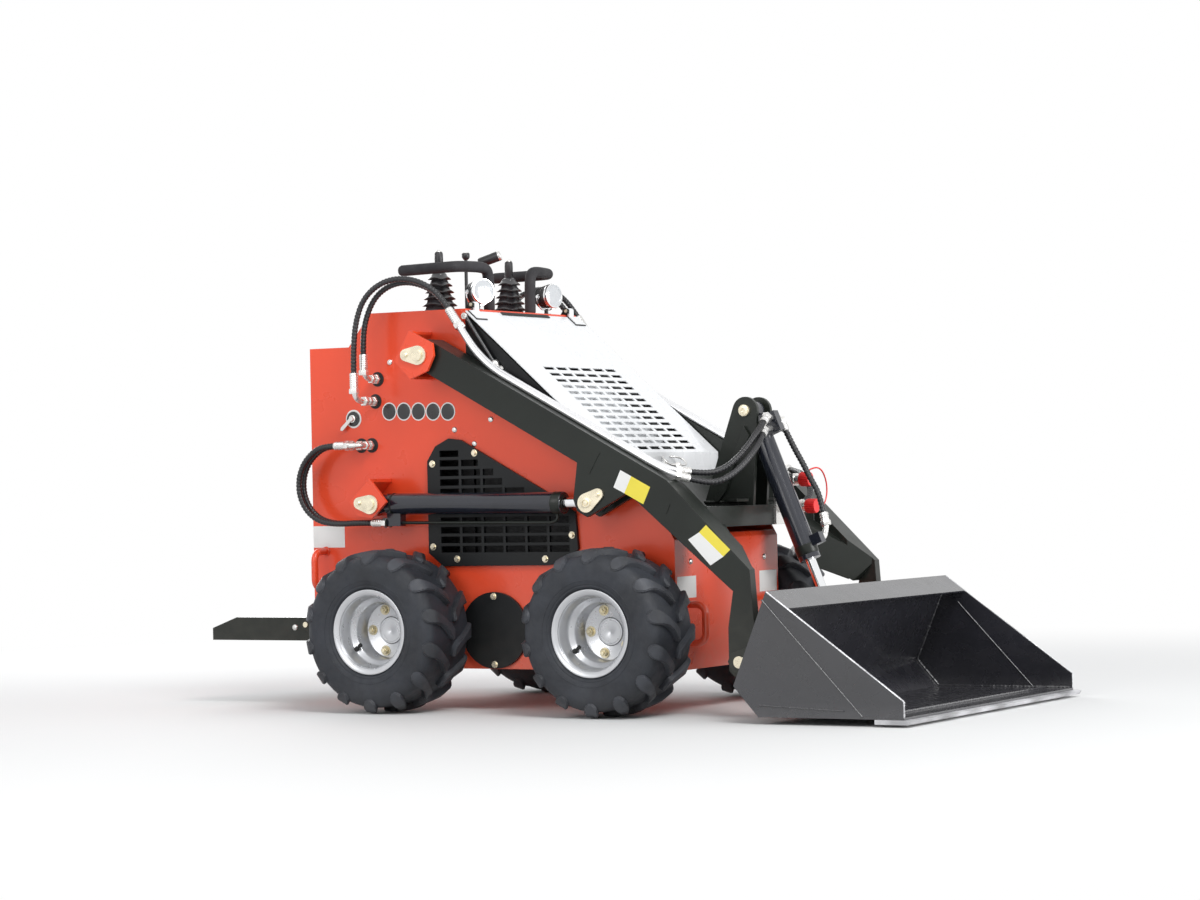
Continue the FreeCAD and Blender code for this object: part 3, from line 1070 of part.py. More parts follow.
# The tilt cylinder's hoses, from the right arm's pipes to its upper port block, and the hose from there
# down to its gland. Their y is to the left here.
TILT_HOSES = (
    ((556, -330, 637), (598, -296, 622), (632, -262, 632), (656, -220, 661), (669, -175, 698),
     (668, -129, 730), (655, -82, 754)),
    ((545, -304, 655), (583, -270, 648), (615, -232, 661), (638, -190, 692), (650, -147, 730),
     (653, -104, 764), (649, -62, 788)),
)
GLAND_HOSE = ((661, 44, 768), (683, 48, 722), (708, 50, 676), (733, 50, 629), (756, 48, 581), (775, 44, 531))
PORT_SIDE = size("port_wide / 2")
TILT_ELBOWS = (
    ((655, -82, 754), (646, -51, 770), (646, -PORT_SIDE, 770)),
    ((649, -62, 788), (647, -41, 800), (647, -PORT_SIDE, 800)),
    ((661, 44, 768), (647, 40, 800), (647, PORT_SIDE, 800)),
    ((775, 44, 531), (783, 42, 498), (777, 38, 466), (777, PORT_SIDE, 466)),
)
hoses = []
for points, bend, elbow in zip(TILT_HOSES, KNEE_BENDS, TILT_ELBOWS):
    hoses.append(tube_along(in_line(points, mirrored([bend], -1)[0], elbow[1]), size("hose_od")))
place(shape_piece("tilt_hoses", hoses), "mid_x", "0", "0")
gland_route = in_line(GLAND_HOSE, TILT_ELBOWS[2][1], TILT_ELBOWS[3][1])
place(shape_piece("gland_hose", [tube_along(gland_route, size("hose_od"))]), "mid_x", "0", "0")
place(shape_piece("tilt_elbows", [sleeved(points, size("pipe_od"), 18) for points in TILT_ELBOWS]),
      "mid_x", "0", "0")

# Quick couplers on a plate beside the tower, with dust caps, fed by hoses from the left arm's pipes.
COUPLERS = (
    # from the middle, height, the hose's points to it
    (130, 553, ((556, 330, 637), (598, 300, 627), (630, 262, 602), (645, 221, 575), (643, 178, 560))),
    (95, 628, ((545, 304, 655), (585, 272, 650), (616, 234, 644), (634, 191, 636), (638, 147, 630))),
)
hoses = []
couplers = []
caps = []
plate_x = size(f"pivot_x + {CROSS[1]}")
block_wide = size("coupler_od + 4")
couplers.append(Part.makeBox(8, 84, 148, Vector(plate_x, 74, size(f"pivot_z + {CROSS[2]}"))))
for (y, z, points), bend in zip(COUPLERS, KNEE_BENDS):
    hoses.append(tube_along(in_line(points, bend), size("hose_od")))
    block_corner = Vector(plate_x + 8, y - block_wide / 2, z - block_wide / 2)
    body = Part.makeBox(52, block_wide, block_wide, block_corner)
    nose = Part.makeCylinder(size("coupler_od") / 2, 16, Vector(plate_x + 60, y, z), Vector(1, 0, 0))
    couplers[0] = couplers[0].fuse([body, nose])
    tip = Vector(*points[-1])
    lead = (tip - Vector(*points[-2])).normalize() * 20 + tip
    face = Vector(lead.x, y + block_wide / 2, lead.z)
    couplers[0] = couplers[0].fuse(sleeved((tip, lead, face), size("pipe_od"), 14))
    caps.append(Part.makeCylinder(size("coupler_cap_od") / 2, 30, Vector(plate_x + 76, y, z),
                                  Vector(1, 0, 0)))
place(shape_piece("coupler_hoses", hoses), "mid_x", "0", "0")
place(shape_piece("quick_couplers", couplers), "mid_x", "0", "0")
place(shape_piece("coupler_caps", caps), "mid_x", "0", "0")

# Write every piece once all are sound.
doc.recompute()
for item in doc.Objects:
    if "Invalid" in item.State or "Error" in item.State:
        raise ValueError(f"{item.Label} failed: {item.State}")
for piece in pieces:
    if piece.Shape.isNull() or not piece.Shape.isValid():
        raise ValueError(f"{piece.Label} has no sound shape")
os.makedirs("parts", exist_ok=True)
for piece in pieces:
    piece.Shape.exportStep(f"parts/{piece.Label}.step")
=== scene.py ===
import math
import bmesh
import bpy
from mathutils import Matrix, Vector


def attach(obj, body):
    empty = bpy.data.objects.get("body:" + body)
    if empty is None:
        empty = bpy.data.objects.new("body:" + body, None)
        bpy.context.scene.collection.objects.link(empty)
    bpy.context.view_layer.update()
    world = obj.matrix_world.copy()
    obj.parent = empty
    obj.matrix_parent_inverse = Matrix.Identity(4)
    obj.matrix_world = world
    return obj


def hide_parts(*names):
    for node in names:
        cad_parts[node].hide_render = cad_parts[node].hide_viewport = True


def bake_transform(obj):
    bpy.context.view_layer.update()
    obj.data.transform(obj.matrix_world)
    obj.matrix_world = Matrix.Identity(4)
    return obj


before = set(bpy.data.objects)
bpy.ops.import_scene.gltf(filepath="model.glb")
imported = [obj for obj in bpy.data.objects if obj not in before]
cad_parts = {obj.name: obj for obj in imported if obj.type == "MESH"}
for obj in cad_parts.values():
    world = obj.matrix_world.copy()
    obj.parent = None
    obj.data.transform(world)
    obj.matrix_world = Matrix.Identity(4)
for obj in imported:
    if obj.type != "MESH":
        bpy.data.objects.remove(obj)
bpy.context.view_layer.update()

scene = bpy.context.scene
scene.view_settings.view_transform = "Standard"

# Camera
# A long lens to the right and ahead of the loader, at the height of its console, tipped a little to
# one side.
heading = math.radians(30.0842)
rise = math.radians(0.5138)
roll = math.radians(1.2062)
stand = Vector((4.55043, -7.89182, 0.64106))
forward = Vector((-math.sin(heading) * math.cos(rise), math.cos(heading) * math.cos(rise), math.sin(rise)))
level = Vector((math.cos(heading), math.sin(heading), 0))
upright = level.cross(forward)
across = level * math.cos(roll) - upright * math.sin(roll)
above = level * math.sin(roll) + upright * math.cos(roll)
lens = bpy.data.cameras.new("camera")
lens.sensor_width = 36
lens.lens = 96
lens.clip_end = 60
camera = bpy.data.objects.new("camera", lens)
camera.matrix_world = Matrix((
    (across.x, above.x, -forward.x, stand.x),
    (across.y, above.y, -forward.y, stand.y),
    (across.z, above.z, -forward.z, stand.z),
    (0, 0, 0, 1)))
scene.collection.objects.link(camera)
scene.camera = camera


# Hydraulic hoses
# Wire-braided rubber hoses in a ribbed guard, each swaged into a plated ferrule at both ends. Two loop
# over each arm's pivot, two go round behind each lift cylinder, two cross from the right arm to the
# tilt cylinder, one goes down that cylinder to its gland, and two feed the quick couplers.
def material(name, color, roughness, metallic=0.0, coat=0.0, grain=60.0, grain_deep=0.0, patches=0.0,
             patch_size=6.0, dust=None, edge=0.0, gleam=0.5):
    """A finish with uneven colour, a fine grain, and dust that thins out above a height."""
    made = bpy.data.materials.new(name)
    made.use_nodes = True
    nodes, links = made.node_tree.nodes, made.node_tree.links
    shader = nodes["Principled BSDF"]
    shader.inputs["Metallic"].default_value = metallic
    shader.inputs["Coat Weight"].default_value = coat
    shader.inputs["Coat Roughness"].default_value = 0.12
    shader.inputs["Specular IOR Level"].default_value = gleam
    place = nodes.new("ShaderNodeTexCoord")

    def noise(scale, detail):
        cloud = nodes.new("ShaderNodeTexNoise")
        cloud.inputs["Scale"].default_value = scale
        cloud.inputs["Detail"].default_value = detail
        links.new(place.outputs["Object"], cloud.inputs["Vector"])
        return cloud.outputs["Fac"]

    def spread(value, low, high, start, end):
        laid = nodes.new("ShaderNodeMapRange")
        links.new(value, laid.inputs["Value"])
        for name, number in (("From Min", low), ("From Max", high), ("To Min", start), ("To Max", end)):
            laid.inputs[name].default_value = number
        return laid.outputs["Result"]

    tone = nodes.new("ShaderNodeMix")
    tone.data_type = "RGBA"
    links.new(spread(noise(patch_size, 6), 0.35, 0.65, 0, 1), tone.inputs["Factor"])
    tone.inputs["A"].default_value = (*[c * (1 - patches) for c in color], 1)
    tone.inputs["B"].default_value = (*[min(1, c * (1 + patches)) for c in color], 1)
    finish = tone.outputs["Result"]
    gloss = spread(noise(patch_size * 5, 4), 0.3, 0.7, roughness * 0.85, min(1, roughness * 1.15))
    if dust:
        dust_color, low, high, most = dust
        height = nodes.new("ShaderNodeSeparateXYZ")
        links.new(place.outputs["Object"], height.inputs["Vector"])
        broken = nodes.new("ShaderNodeMath")
        broken.operation = "MULTIPLY"
        links.new(spread(height.outputs["Z"], low, high, most, 0), broken.inputs[0])
        links.new(noise(28, 8), broken.inputs[1])
        dusty = nodes.new("ShaderNodeMix")
        dusty.data_type = "RGBA"
        links.new(broken.outputs["Value"], dusty.inputs["Factor"])
        links.new(finish, dusty.inputs["A"])
        dusty.inputs["B"].default_value = (*dust_color, 1)
        finish = dusty.outputs["Result"]
    links.new(finish, shader.inputs["Base Color"])
    links.new(gloss, shader.inputs["Roughness"])
    normal = None
    if edge:
        rounded = nodes.new("ShaderNodeBevel")
        rounded.samples = 4
        rounded.inputs["Radius"].default_value = edge
        normal = rounded.outputs["Normal"]
    if grain_deep:
        bump = nodes.new("ShaderNodeBump")
        bump.inputs["Distance"].default_value = grain_deep
        bump.inputs["Strength"].default_value = 0.6
        links.new(noise(grain, 3), bump.inputs["Height"])
        if normal:
            links.new(normal, bump.inputs["Normal"])
        normal = bump.outputs["Normal"]
    if normal:
        links.new(normal, shader.inputs["Normal"])
    return made


def piece(name, mesh, finish, body=None, replaces=(), smooth=40):
    """A finished piece from a bmesh, smooth where its faces meet at less than an angle."""
    bmesh.ops.recalc_face_normals(mesh, faces=mesh.faces)
    for face in mesh.faces:
        face.smooth = True
    for edge in mesh.edges:
        if len(edge.link_faces) != 2 or edge.calc_face_angle(0) > math.radians(smooth):
            edge.smooth = False
    data = bpy.data.meshes.new(name)
    mesh.to_mesh(data)
    mesh.free()
    made_piece = bpy.data.objects.new(name, data)
    scene.collection.objects.link(made_piece)
    data.materials.append(finish)
    if replaces:
        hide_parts(*replaces)
    if body:
        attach(made_piece, body)
    return made_piece


def route_points(points):
    """The smooth line that a route's points pull along, as evenly spaced points."""
    curve = bpy.data.curves.new("route", "CURVE")
    curve.dimensions = "3D"
    curve.resolution_u = 40
    spline = curve.splines.new("NURBS")
    spline.points.add(len(points) - 1)
    for knot, point in zip(spline.points, points):
        knot.co = (*point, 1)
    spline.order_u = 3
    spline.use_endpoint_u = True
    holder = bpy.data.objects.new("route", curve)
    line = bpy.data.meshes.new_from_object(holder)
    fine = [vertex.co.copy() for vertex in line.vertices]
    bpy.data.objects.remove(holder)
    bpy.data.curves.remove(curve)
    bpy.data.meshes.remove(line)
    return fine


def along(fine, step):
    """Points at an even step along a fine line, from its first to its last."""
    total = sum((b - a).length for a, b in zip(fine, fine[1:]))
    count = max(2, round(total / step))
    out, gone, i = [], 0.0, 0
    for k in range(count + 1):
        want = total * k / count
        while i < len(fine) - 2 and gone + (fine[i + 1] - fine[i]).length < want:
            gone += (fine[i + 1] - fine[i]).length
            i += 1
        span = (fine[i + 1] - fine[i]).length
        out.append(fine[i].lerp(fine[i + 1], min(1, (want - gone) / span)))
    return out, total


def sweep(mesh, line, radius, sides=12):
    """A round tube along a line, its radius given for each point's number."""
    ahead = (line[1] - line[0]).normalized()
    turn = Vector((0, 0, 1)).rotation_difference(ahead)
    ring = bmesh.ops.create_circle(mesh, cap_ends=True, segments=sides, radius=1)["verts"]
    frame_now = Matrix.Translation(line[0]) @ turn.to_matrix().to_4x4() @ Matrix.Scale(radius(0), 4)
    bmesh.ops.transform(mesh, matrix=frame_now, verts=ring)
    edges = list({edge for vertex in ring for edge in vertex.link_edges})
    for k in range(1, len(line)):
        after = line[min(k + 1, len(line) - 1)] - line[k - 1]
        bend = ahead.rotation_difference(after.normalized())
        ahead = after.normalized()
        turn = bend @ turn
        frame_next = Matrix.Translation(line[k]) @ turn.to_matrix().to_4x4() @ Matrix.Scale(radius(k), 4)
        moved = bmesh.ops.extrude_edge_only(mesh, edges=edges)["geom"]
        ring = [item for item in moved if isinstance(item, bmesh.types.BMVert)]
        edges = [item for item in moved if isinstance(item, bmesh.types.BMEdge)]
        bmesh.ops.transform(mesh, matrix=frame_next @ frame_now.inverted(), verts=ring)
        frame_now = frame_next
    bmesh.ops.contextual_create(mesh, geom=edges)
    return mesh


hose_rubber = material("hose_rubber", (0.014, 0.014, 0.016), 0.32, grain=900, grain_deep=0.0003, patches=0.3)
HOSE_RADIUS = 0.0085
GROOVE = 0.80
RIB_STEP = 0.0025
RIB_LONG = 4
ARM_HOSES = (
    ((-0.582, 0.412, 0.95), (-0.582, 0.412, 1.026), (-0.577, 0.403, 1.105), (-0.554, 0.396, 1.166),
     (-0.503, 0.387, 1.207), (-0.438, 0.377, 1.219), (-0.376, 0.368, 1.203), (-0.325, 0.357, 1.168),
     (-0.293, 0.357, 1.122)),
    ((-0.573, 0.375, 1.003), (-0.573, 0.375, 1.063), (-0.564, 0.367, 1.12), (-0.538, 0.361, 1.17),
     (-0.496, 0.354, 1.2), (-0.441, 0.347, 1.209), (-0.387, 0.341, 1.196), (-0.338, 0.333, 1.166),
     (-0.303, 0.333, 1.118)))
CYLINDER_HOSE_OUT = (0.349, 0.373)
CYLINDER_LOOP = (
    (-0.675, 0.75), (-0.72, 0.75), (-0.759, 0.732), (-0.79, 0.701), (-0.807, 0.661), (-0.807, 0.617),
    (-0.79, 0.577), (-0.759, 0.547), (-0.72, 0.532), (-0.668, 0.527), (-0.614, 0.53), (-0.55, 0.529))
TILT_HOSES = (
    ((0.443, -0.33, 0.637), (0.484, -0.296, 0.622), (0.518, -0.262, 0.632), (0.542, -0.22, 0.661),
     (0.555, -0.175, 0.698), (0.555, -0.129, 0.73), (0.541, -0.082, 0.754)),
    ((0.431, -0.304, 0.655), (0.47, -0.27, 0.648), (0.501, -0.232, 0.661), (0.524, -0.19, 0.692),
     (0.536, -0.147, 0.73), (0.539, -0.104, 0.764), (0.535, -0.062, 0.788)))
GLAND_HOSE = ((0.547, 0.044, 0.768), (0.568, 0.05, 0.721), (0.595, 0.05, 0.676), (0.62, 0.05, 0.629),
              (0.649, 0.047, 0.583), (0.661, 0.044, 0.531))
COUPLER_HOSES = (
    ((0.443, 0.33, 0.637), (0.482, 0.298, 0.623), (0.516, 0.262, 0.602), (0.531, 0.221, 0.575),
     (0.529, 0.178, 0.56)),
    ((0.431, 0.304, 0.655), (0.47, 0.27, 0.648), (0.502, 0.234, 0.644), (0.52, 0.191, 0.636),
     (0.524, 0.147, 0.63)))


def hose(name, points, node, body=None, bend=None):
    """A ribbed hose along its route, on one body or on none."""
    line, length = along(route_points(points), RIB_STEP)
    mesh = sweep(bmesh.new(), line, lambda k: HOSE_RADIUS * (1 if k % RIB_LONG else GROOVE))
    made = piece(name, mesh, hose_rubber, body, replaces=(node,), smooth=80)
    if bend:
        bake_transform(made)


for side, sign in (("R", -1), ("L", 1)):
    for number, points in enumerate(ARM_HOSES):
        points = [(x, sign * y, z) for x, y, z in points]
        hose(f"arm_hose_{side}_{number}", points, f"arm_hoses_{side}",
             bend=("frame_body", "arm_body", (-0.56, 0, 1.0), (-0.30, 0, 1.15)))
    for number, y in enumerate(CYLINDER_HOSE_OUT):
        points = [(x, sign * y, z) for x, z in CYLINDER_LOOP]
        hose(f"cylinder_hose_{side}_{number}", points, f"cylinder_hoses_{side}",
             bend=("frame_body", f"lift_barrel_{side}_body", (-0.75, 0, 0.70), (-0.62, 0, 0.53)))
for number, points in enumerate(TILT_HOSES):
    hose(f"tilt_hose_{number}", points, "tilt_hoses",
         bend=("arm_body", "tilt_barrel_body", (0.46, -0.28, 0.65), (0.54, -0.10, 0.76)))
hose("gland_hose_0", GLAND_HOSE, "gland_hose", body="tilt_barrel_body")
for number, points in enumerate(COUPLER_HOSES):
    hose(f"coupler_hose_{number}", points, "coupler_hoses", body="arm_body")


# Fittings
# Plated steel elbows, ferrules and pipes that the hoses are swaged to, with hexagon nuts where they
# screw in. The elbows leave the side plates through holes with black rubber grommets.
def paint(nodes, finish):
    """Gives pieces of the frame's own model a finish."""
    for name in nodes:
        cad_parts[name].data.materials.clear()
        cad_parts[name].data.materials.append(finish)


def lathe(profile, sides=24):
    """A turned part about Z: points of height and radius."""
    part = bmesh.new()
    knots = [part.verts.new((radius, 0, height)) for height, radius in profile]
    edges = [part.edges.new(pair) for pair in zip(knots, knots[1:])]
    bmesh.ops.spin(part, geom=knots + edges, cent=(0, 0, 0), axis=(0, 0, 1), angle=math.tau, steps=sides,
                   use_merge=True)
    bmesh.ops.remove_doubles(part, verts=part.verts, dist=1e-6)
    return part


def slab(points, thick):
    """A flat plate: a face through the points, thickened along a vector."""
    part = bmesh.new()
    face = part.faces.new([part.verts.new(point) for point in points])
    moved = bmesh.ops.extrude_face_region(part, geom=[face])["geom"]
    corners = [item for item in moved if isinstance(item, bmesh.types.BMVert)]
    bmesh.ops.translate(part, vec=thick, verts=corners)
    return part


def aim(place, toward):
    """Local Z laid along a direction, at a place."""
    turn = Vector((0, 0, 1)).rotation_difference(Vector(toward)).to_matrix().to_4x4()
    return Matrix.Translation(place) @ turn


def add(mesh, part, place=Matrix.Identity(4)):
    """Puts a part in place and joins it to a mesh."""
    bmesh.ops.transform(part, matrix=place, verts=part.verts)
    data = bpy.data.meshes.new("part")
    part.to_mesh(data)
    part.free()
    mesh.from_mesh(data)
    bpy.data.meshes.remove(data)


def nut(mesh, place, toward, across, thick):
    """A hexagon nut with turned-down corners."""
    radius = across / 2 / math.cos(math.pi / 6)
    add(mesh, lathe(((0, 0), (0, radius * 0.9), (thick * 0.12, radius), (thick * 0.88, radius),
                     (thick, radius * 0.9), (thick, 0)), sides=6), aim(place, toward))


def bolt(mesh, place, toward, across):
    """A hexagon head on a washer."""
    add(mesh, lathe(((0, 0), (0, across * 0.78), (across * 0.13, across * 0.78), (across * 0.13, 0))),
        aim(place, toward))
    nut(mesh, Vector(place) + Vector(toward) * across * 0.13, toward, across, across * 0.5)


def dome(mesh, place, toward, radius):
    """A round-headed bolt."""
    add(mesh, lathe(((0, 0), (0, radius), (radius * 0.25, radius * 0.94), (radius * 0.45, radius * 0.72),
                     (radius * 0.56, radius * 0.4), (radius * 0.6, 0)), sides=20), aim(place, toward))


CRIMP_STEP = 0.006


def ferrule(mesh, tip, inner, long):
    """The crimped sleeve at a hose's end, with the nut below it."""
    toward = (Vector(inner) - Vector(tip)).normalized()
    profile = [(-0.004, 0), (-0.004, 0.0108)]
    for ring in range(int(long / CRIMP_STEP)):
        start = ring * CRIMP_STEP
        profile += [(start, 0.0122), (start + 0.0035, 0.0122), (start + 0.0045, 0.0112)]
    profile += [(long, 0.0116), (long, 0)]
    add(mesh, lathe(profile), aim(tip, toward))
    nut(mesh, Vector(tip) + toward * long, toward, 0.025, 0.015)


plated = material("plated_steel", (0.78, 0.77, 0.75), 0.26, metallic=0.85, patches=0.12, grain=500,
                  grain_deep=0.0002, edge=0.0008)
pipe_steel = material("pipe_steel", (0.86, 0.86, 0.87), 0.25, metallic=0.6, patches=0.06, grain=300,
                      grain_deep=0.0001)
grommet_rubber = material("grommet_rubber", (0.012, 0.012, 0.012), 0.7, patches=0.2, grain=600,
                          grain_deep=0.0003)
paint(("side_elbows", "tilt_elbows", "quick_couplers"), plated)
paint(("arm_pipes_R", "arm_pipes_L"), pipe_steel)
SIDE_FACE = 0.306
ELBOW_NUTS = (
    # out from the side plate, across flats, thickness
    (0.004, 0.026, 0.013), (0.026, 0.023, 0.012), (0.048, 0.026, 0.014))
SIDE_ELBOWS = (
    # x, height, where its hose ends, the way the hose leaves, length of the sleeve, nuts on the elbow
    (-0.5815, 0.875, ARM_HOSES[0][0], (0, 0, 1), 0.04, 3),
    (-0.5725, 0.938, ARM_HOSES[1][0], (0, 0, 1), 0.04, 2),
    (-0.6325, 0.750, (-0.675, CYLINDER_HOSE_OUT[0], 0.75), (-1, 0, 0), 0.03, 1),
    (-0.5965, 0.750, (-0.675, CYLINDER_HOSE_OUT[1], 0.75), (-1, 0, 0), 0.03, 2))
mesh = bmesh.new()
rubber_mesh = bmesh.new()
for sign in (-1, 1):
    outward = Vector((0, sign, 0))
    for x, z, (tip_x, tip_y, tip_z), leaving, sleeve, nuts in SIDE_ELBOWS:
        foot = Vector((x, sign * SIDE_FACE, z))
        add(rubber_mesh, lathe(((0, 0.010), (0, 0.021), (0.0015, 0.021), (0.0025, 0.018), (0.0025, 0.010))),
            aim(foot, outward))
        for out, wide, thick in ELBOW_NUTS[:nuts]:
            nut(mesh, foot + outward * out, outward, wide, thick)
        tip = Vector((tip_x, sign * tip_y, tip_z))
        ferrule(mesh, tip, tip - Vector(leaving), sleeve)
piece("elbow_nuts", mesh, plated, "frame_body")
piece("elbow_grommets", rubber_mesh, grommet_rubber, "frame_body")

PIPE_ENDS = (
    # the hose's end, a point back along the pipe, length of the sleeve
    ((-0.2935, 0.357, 1.122), (-0.19, 0.357, 0.9694), 0.046),
    ((-0.3035, 0.333, 1.118), (-0.197, 0.333, 0.9732), 0.046),
    ((0.4425, 0.330, 0.637), (0.4095, 0.357, 0.649), 0.022),
    ((0.4315, 0.304, 0.655), (0.3975, 0.334, 0.661), 0.022))
COUPLER_ENDS = (
    ((0.5295, 0.178, 0.56), (0.529, 0.160, 0.556)),
    ((0.5245, 0.147, 0.63), (0.526, 0.128, 0.627)))
mesh = bmesh.new()
for side in (Vector((1, -1, 1)), Vector((1, 1, 1))):
    for tip, inner, sleeve in PIPE_ENDS:
        ferrule(mesh, Vector(tip) * side, Vector(inner) * side, sleeve)
for tip, inner in COUPLER_ENDS:
    ferrule(mesh, tip, inner, 0.012)
piece("pipe_nuts", mesh, plated, "arm_body")

TILT_ENDS = (
    ((0.5415, -0.082, 0.754), (0.5325, -0.051, 0.770)),
    ((0.5355, -0.062, 0.788), (0.5335, -0.041, 0.800)),
    ((0.5475, 0.044, 0.768), (0.5335, 0.040, 0.800)),
    ((0.6615, 0.044, 0.531), (0.6695, 0.042, 0.498)))
mesh = bmesh.new()
for tip, inner in TILT_ENDS:
    ferrule(mesh, tip, inner, 0.018)
piece("tilt_nuts", mesh, plated, "tilt_barrel_body")
for side, sign in (("R", -1), ("L", 1)):
    mesh = bmesh.new()
    for y in CYLINDER_HOSE_OUT:
        ferrule(mesh, (-0.5505, sign * y, 0.529), (-0.5045, sign * y, 0.5286), 0.03)
    piece(f"cylinder_nuts_{side}", mesh, plated, f"lift_barrel_{side}_body")

# Frame
# Welded box of steel plate in gloss red enamel, with brackets for the arms and cylinders and tie loops
# of the same colour. Black slotted covers are bolted to the side plates. They are painted darker than the
# enamel as painted shade, and a dark sheet behind them is painted shade for the inside of the frame.
red = material("red_enamel", (0.86, 0.074, 0.022), 0.30, coat=0.4, patches=0.05, patch_size=2.2, grain=420,
               grain_deep=0.0002, dust=((0.45, 0.34, 0.26), 0.10, 0.40, 0.35), edge=0.0025)
black = material("black_enamel", (0.014, 0.017, 0.014), 0.34, coat=0.08, patches=0.25, patch_size=3,
                 grain=380, grain_deep=0.0003, dust=((0.20, 0.18, 0.15), 0.10, 0.40, 0.25), edge=0.0025,
                 gleam=0.28)
engine_grey = material("engine_grey", (0.018, 0.018, 0.019), 0.6, patches=0.5, patch_size=14, grain=90,
                       grain_deep=0.002)
zinc = material("zinc_plate", (0.86, 0.78, 0.60), 0.28, metallic=0.8, patches=0.12, patch_size=30,
                edge=0.0008)
# The covers' black is darker than the black enamel. This is painted shade for the shadow the covers sit in.
cover_black_painted_shade = material("cover_black_painted_shade", (0.006, 0.007, 0.008), 0.42, patches=0.2, patch_size=3, grain=380,
                       grain_deep=0.0003, dust=((0.20, 0.18, 0.15), 0.10, 0.30, 0.12), edge=0.002, gleam=0.3)
paint(("chassis", "arm_bracket_R", "arm_bracket_L", "cylinder_bracket_R", "cylinder_bracket_L",
       "tie_loops"), red)
paint(("front_shield", "hood_hinges", "platform", "platform_hangers"), black)
paint(("side_panels", "side_covers"), cover_black_painted_shade)
paint(("engine_block",), engine_grey)

FRONT_FACE = 0.3825
PLATE_BOLTS = ((-0.5295, 0.985), (-0.3155, 0.787), (-0.2505, 0.746), (-0.1945, 0.813))
COVER_BOLTS = (
    (-0.3858, 0.6925), (-0.2449, 0.7204), (0.0670, 0.4878), (-0.0201, 0.4224), (-0.3086, 0.4241),
    (-0.3881, 0.4584), (-0.1915, 0.319), (-0.1915, 0.129))
# A dark sheet behind the side covers, painted shade for the dark inside of the frame.
SHADE_SHEET = ((-0.620, 0.330), (-0.318, 0.330), (-0.318, 0.790), (-0.620, 0.790))
SHADE_SHEET_FACE = 0.205
plate_bolt_mesh = bmesh.new()
shade_sheet_mesh = bmesh.new()
platform_bolt_mesh = bmesh.new()
cover_bolt_mesh = bmesh.new()
for sign in (-1, 1):
    outward = Vector((0, sign, 0))
    for x, z in PLATE_BOLTS:
        dome(plate_bolt_mesh, (x, sign * SIDE_FACE, z), outward, 0.0085)
    for x, z in COVER_BOLTS:
        bolt(cover_bolt_mesh, (x, sign * 0.316, z), outward, 0.0125)
    dome(plate_bolt_mesh, (FRONT_FACE, 0.0011 + sign * 0.219, 0.410), (1, 0, 0), 0.0085)
    add(shade_sheet_mesh, slab([(x, sign * SHADE_SHEET_FACE, z) for x, z in SHADE_SHEET], outward * -0.004))
    dome(platform_bolt_mesh, (-0.8967, sign * 0.280, 0.227), outward, 0.0095)
piece("plate_bolts", plate_bolt_mesh, plated, "frame_body")
# The dark sheet behind the covers is painted shade.
piece("inner_shade_sheet", shade_sheet_mesh, engine_grey, "frame_body")
piece("platform_side_bolts", platform_bolt_mesh, plated, "platform_body")
piece("cover_bolts", cover_bolt_mesh, zinc, "frame_body")


def weld(mesh, points, radius, step=0.004):
    """A bead of weld along straight runs."""
    line = along([Vector(point) for point in points], step)[0]
    sweep(mesh, line, lambda k: radius * (1 + 0.16 * math.sin(k * 2.1) + 0.1 * math.sin(k * 0.7)), sides=8)


ARM_PIN = (-0.3575, 0.996)
BARREL_PIN = (-0.5285, 0.582)
BRACKETS = (
    # pin, corners of the bracket's foot from it
    (ARM_PIN, ((-0.031, 0.070), (-0.081, -0.015), (-0.029, -0.066))),
    (BARREL_PIN, ((-0.003, 0.072), (-0.073, 0.008), (-0.047, -0.032))))
LOOP_WELD = 0.0115
circle = [(LOOP_WELD * math.cos(turn), LOOP_WELD * math.sin(turn))
          for turn in (k * math.tau / 12 for k in range(13))]
mesh = bmesh.new()
for sign in (-1, 1):
    for (x, z), corners in BRACKETS:
        weld(mesh, [(x + dx * 1.02, sign * SIDE_FACE, z + dz * 1.02) for dx, dz in corners], 0.0035)
    for height in (0.344, 0.448):
        weld(mesh, [(-0.7635 + run, sign * 0.307, height + lift) for run, lift in circle], 0.003)
    for height in (0.190, 0.294):
        weld(mesh, [(0.3835, sign * 0.246 + run, height + lift) for run, lift in circle], 0.003)
piece("frame_welds", mesh, red, "frame_body", smooth=70)

# Badges and labels
# Blank round badges in black with white rims, blank white and yellow labels, and the key switch's
# round plate with its lever.
label_white = material("label_white", (0.86, 0.86, 0.84), 0.35, coat=0.3, patches=0.03, grain=300,
                       grain_deep=0.0001, edge=0.0003)
label_yellow = material("label_yellow", (0.86, 0.72, 0.06), 0.35, coat=0.3, patches=0.04, grain=300,
                        grain_deep=0.0001, edge=0.0003)
badge_black = material("badge_black", (0.015, 0.016, 0.018), 0.3, coat=0.4, patches=0.1, grain=300,
                       grain_deep=0.0001, edge=0.0004)
BADGES = 5
BADGE_STEP = Vector((0.0495, 0, -0.0014))
LABEL_THICK = 0.0006
REAR_LABEL = ((-0.8060, 0.459), (-0.6970, 0.459), (-0.6970, 0.521), (-0.8060, 0.521))
FRONT_LABEL = ((0.189, 0.3115), (0.296, 0.3115), (0.296, 0.371), (0.189, 0.371))
rim_mesh = bmesh.new()
disc_mesh = bmesh.new()
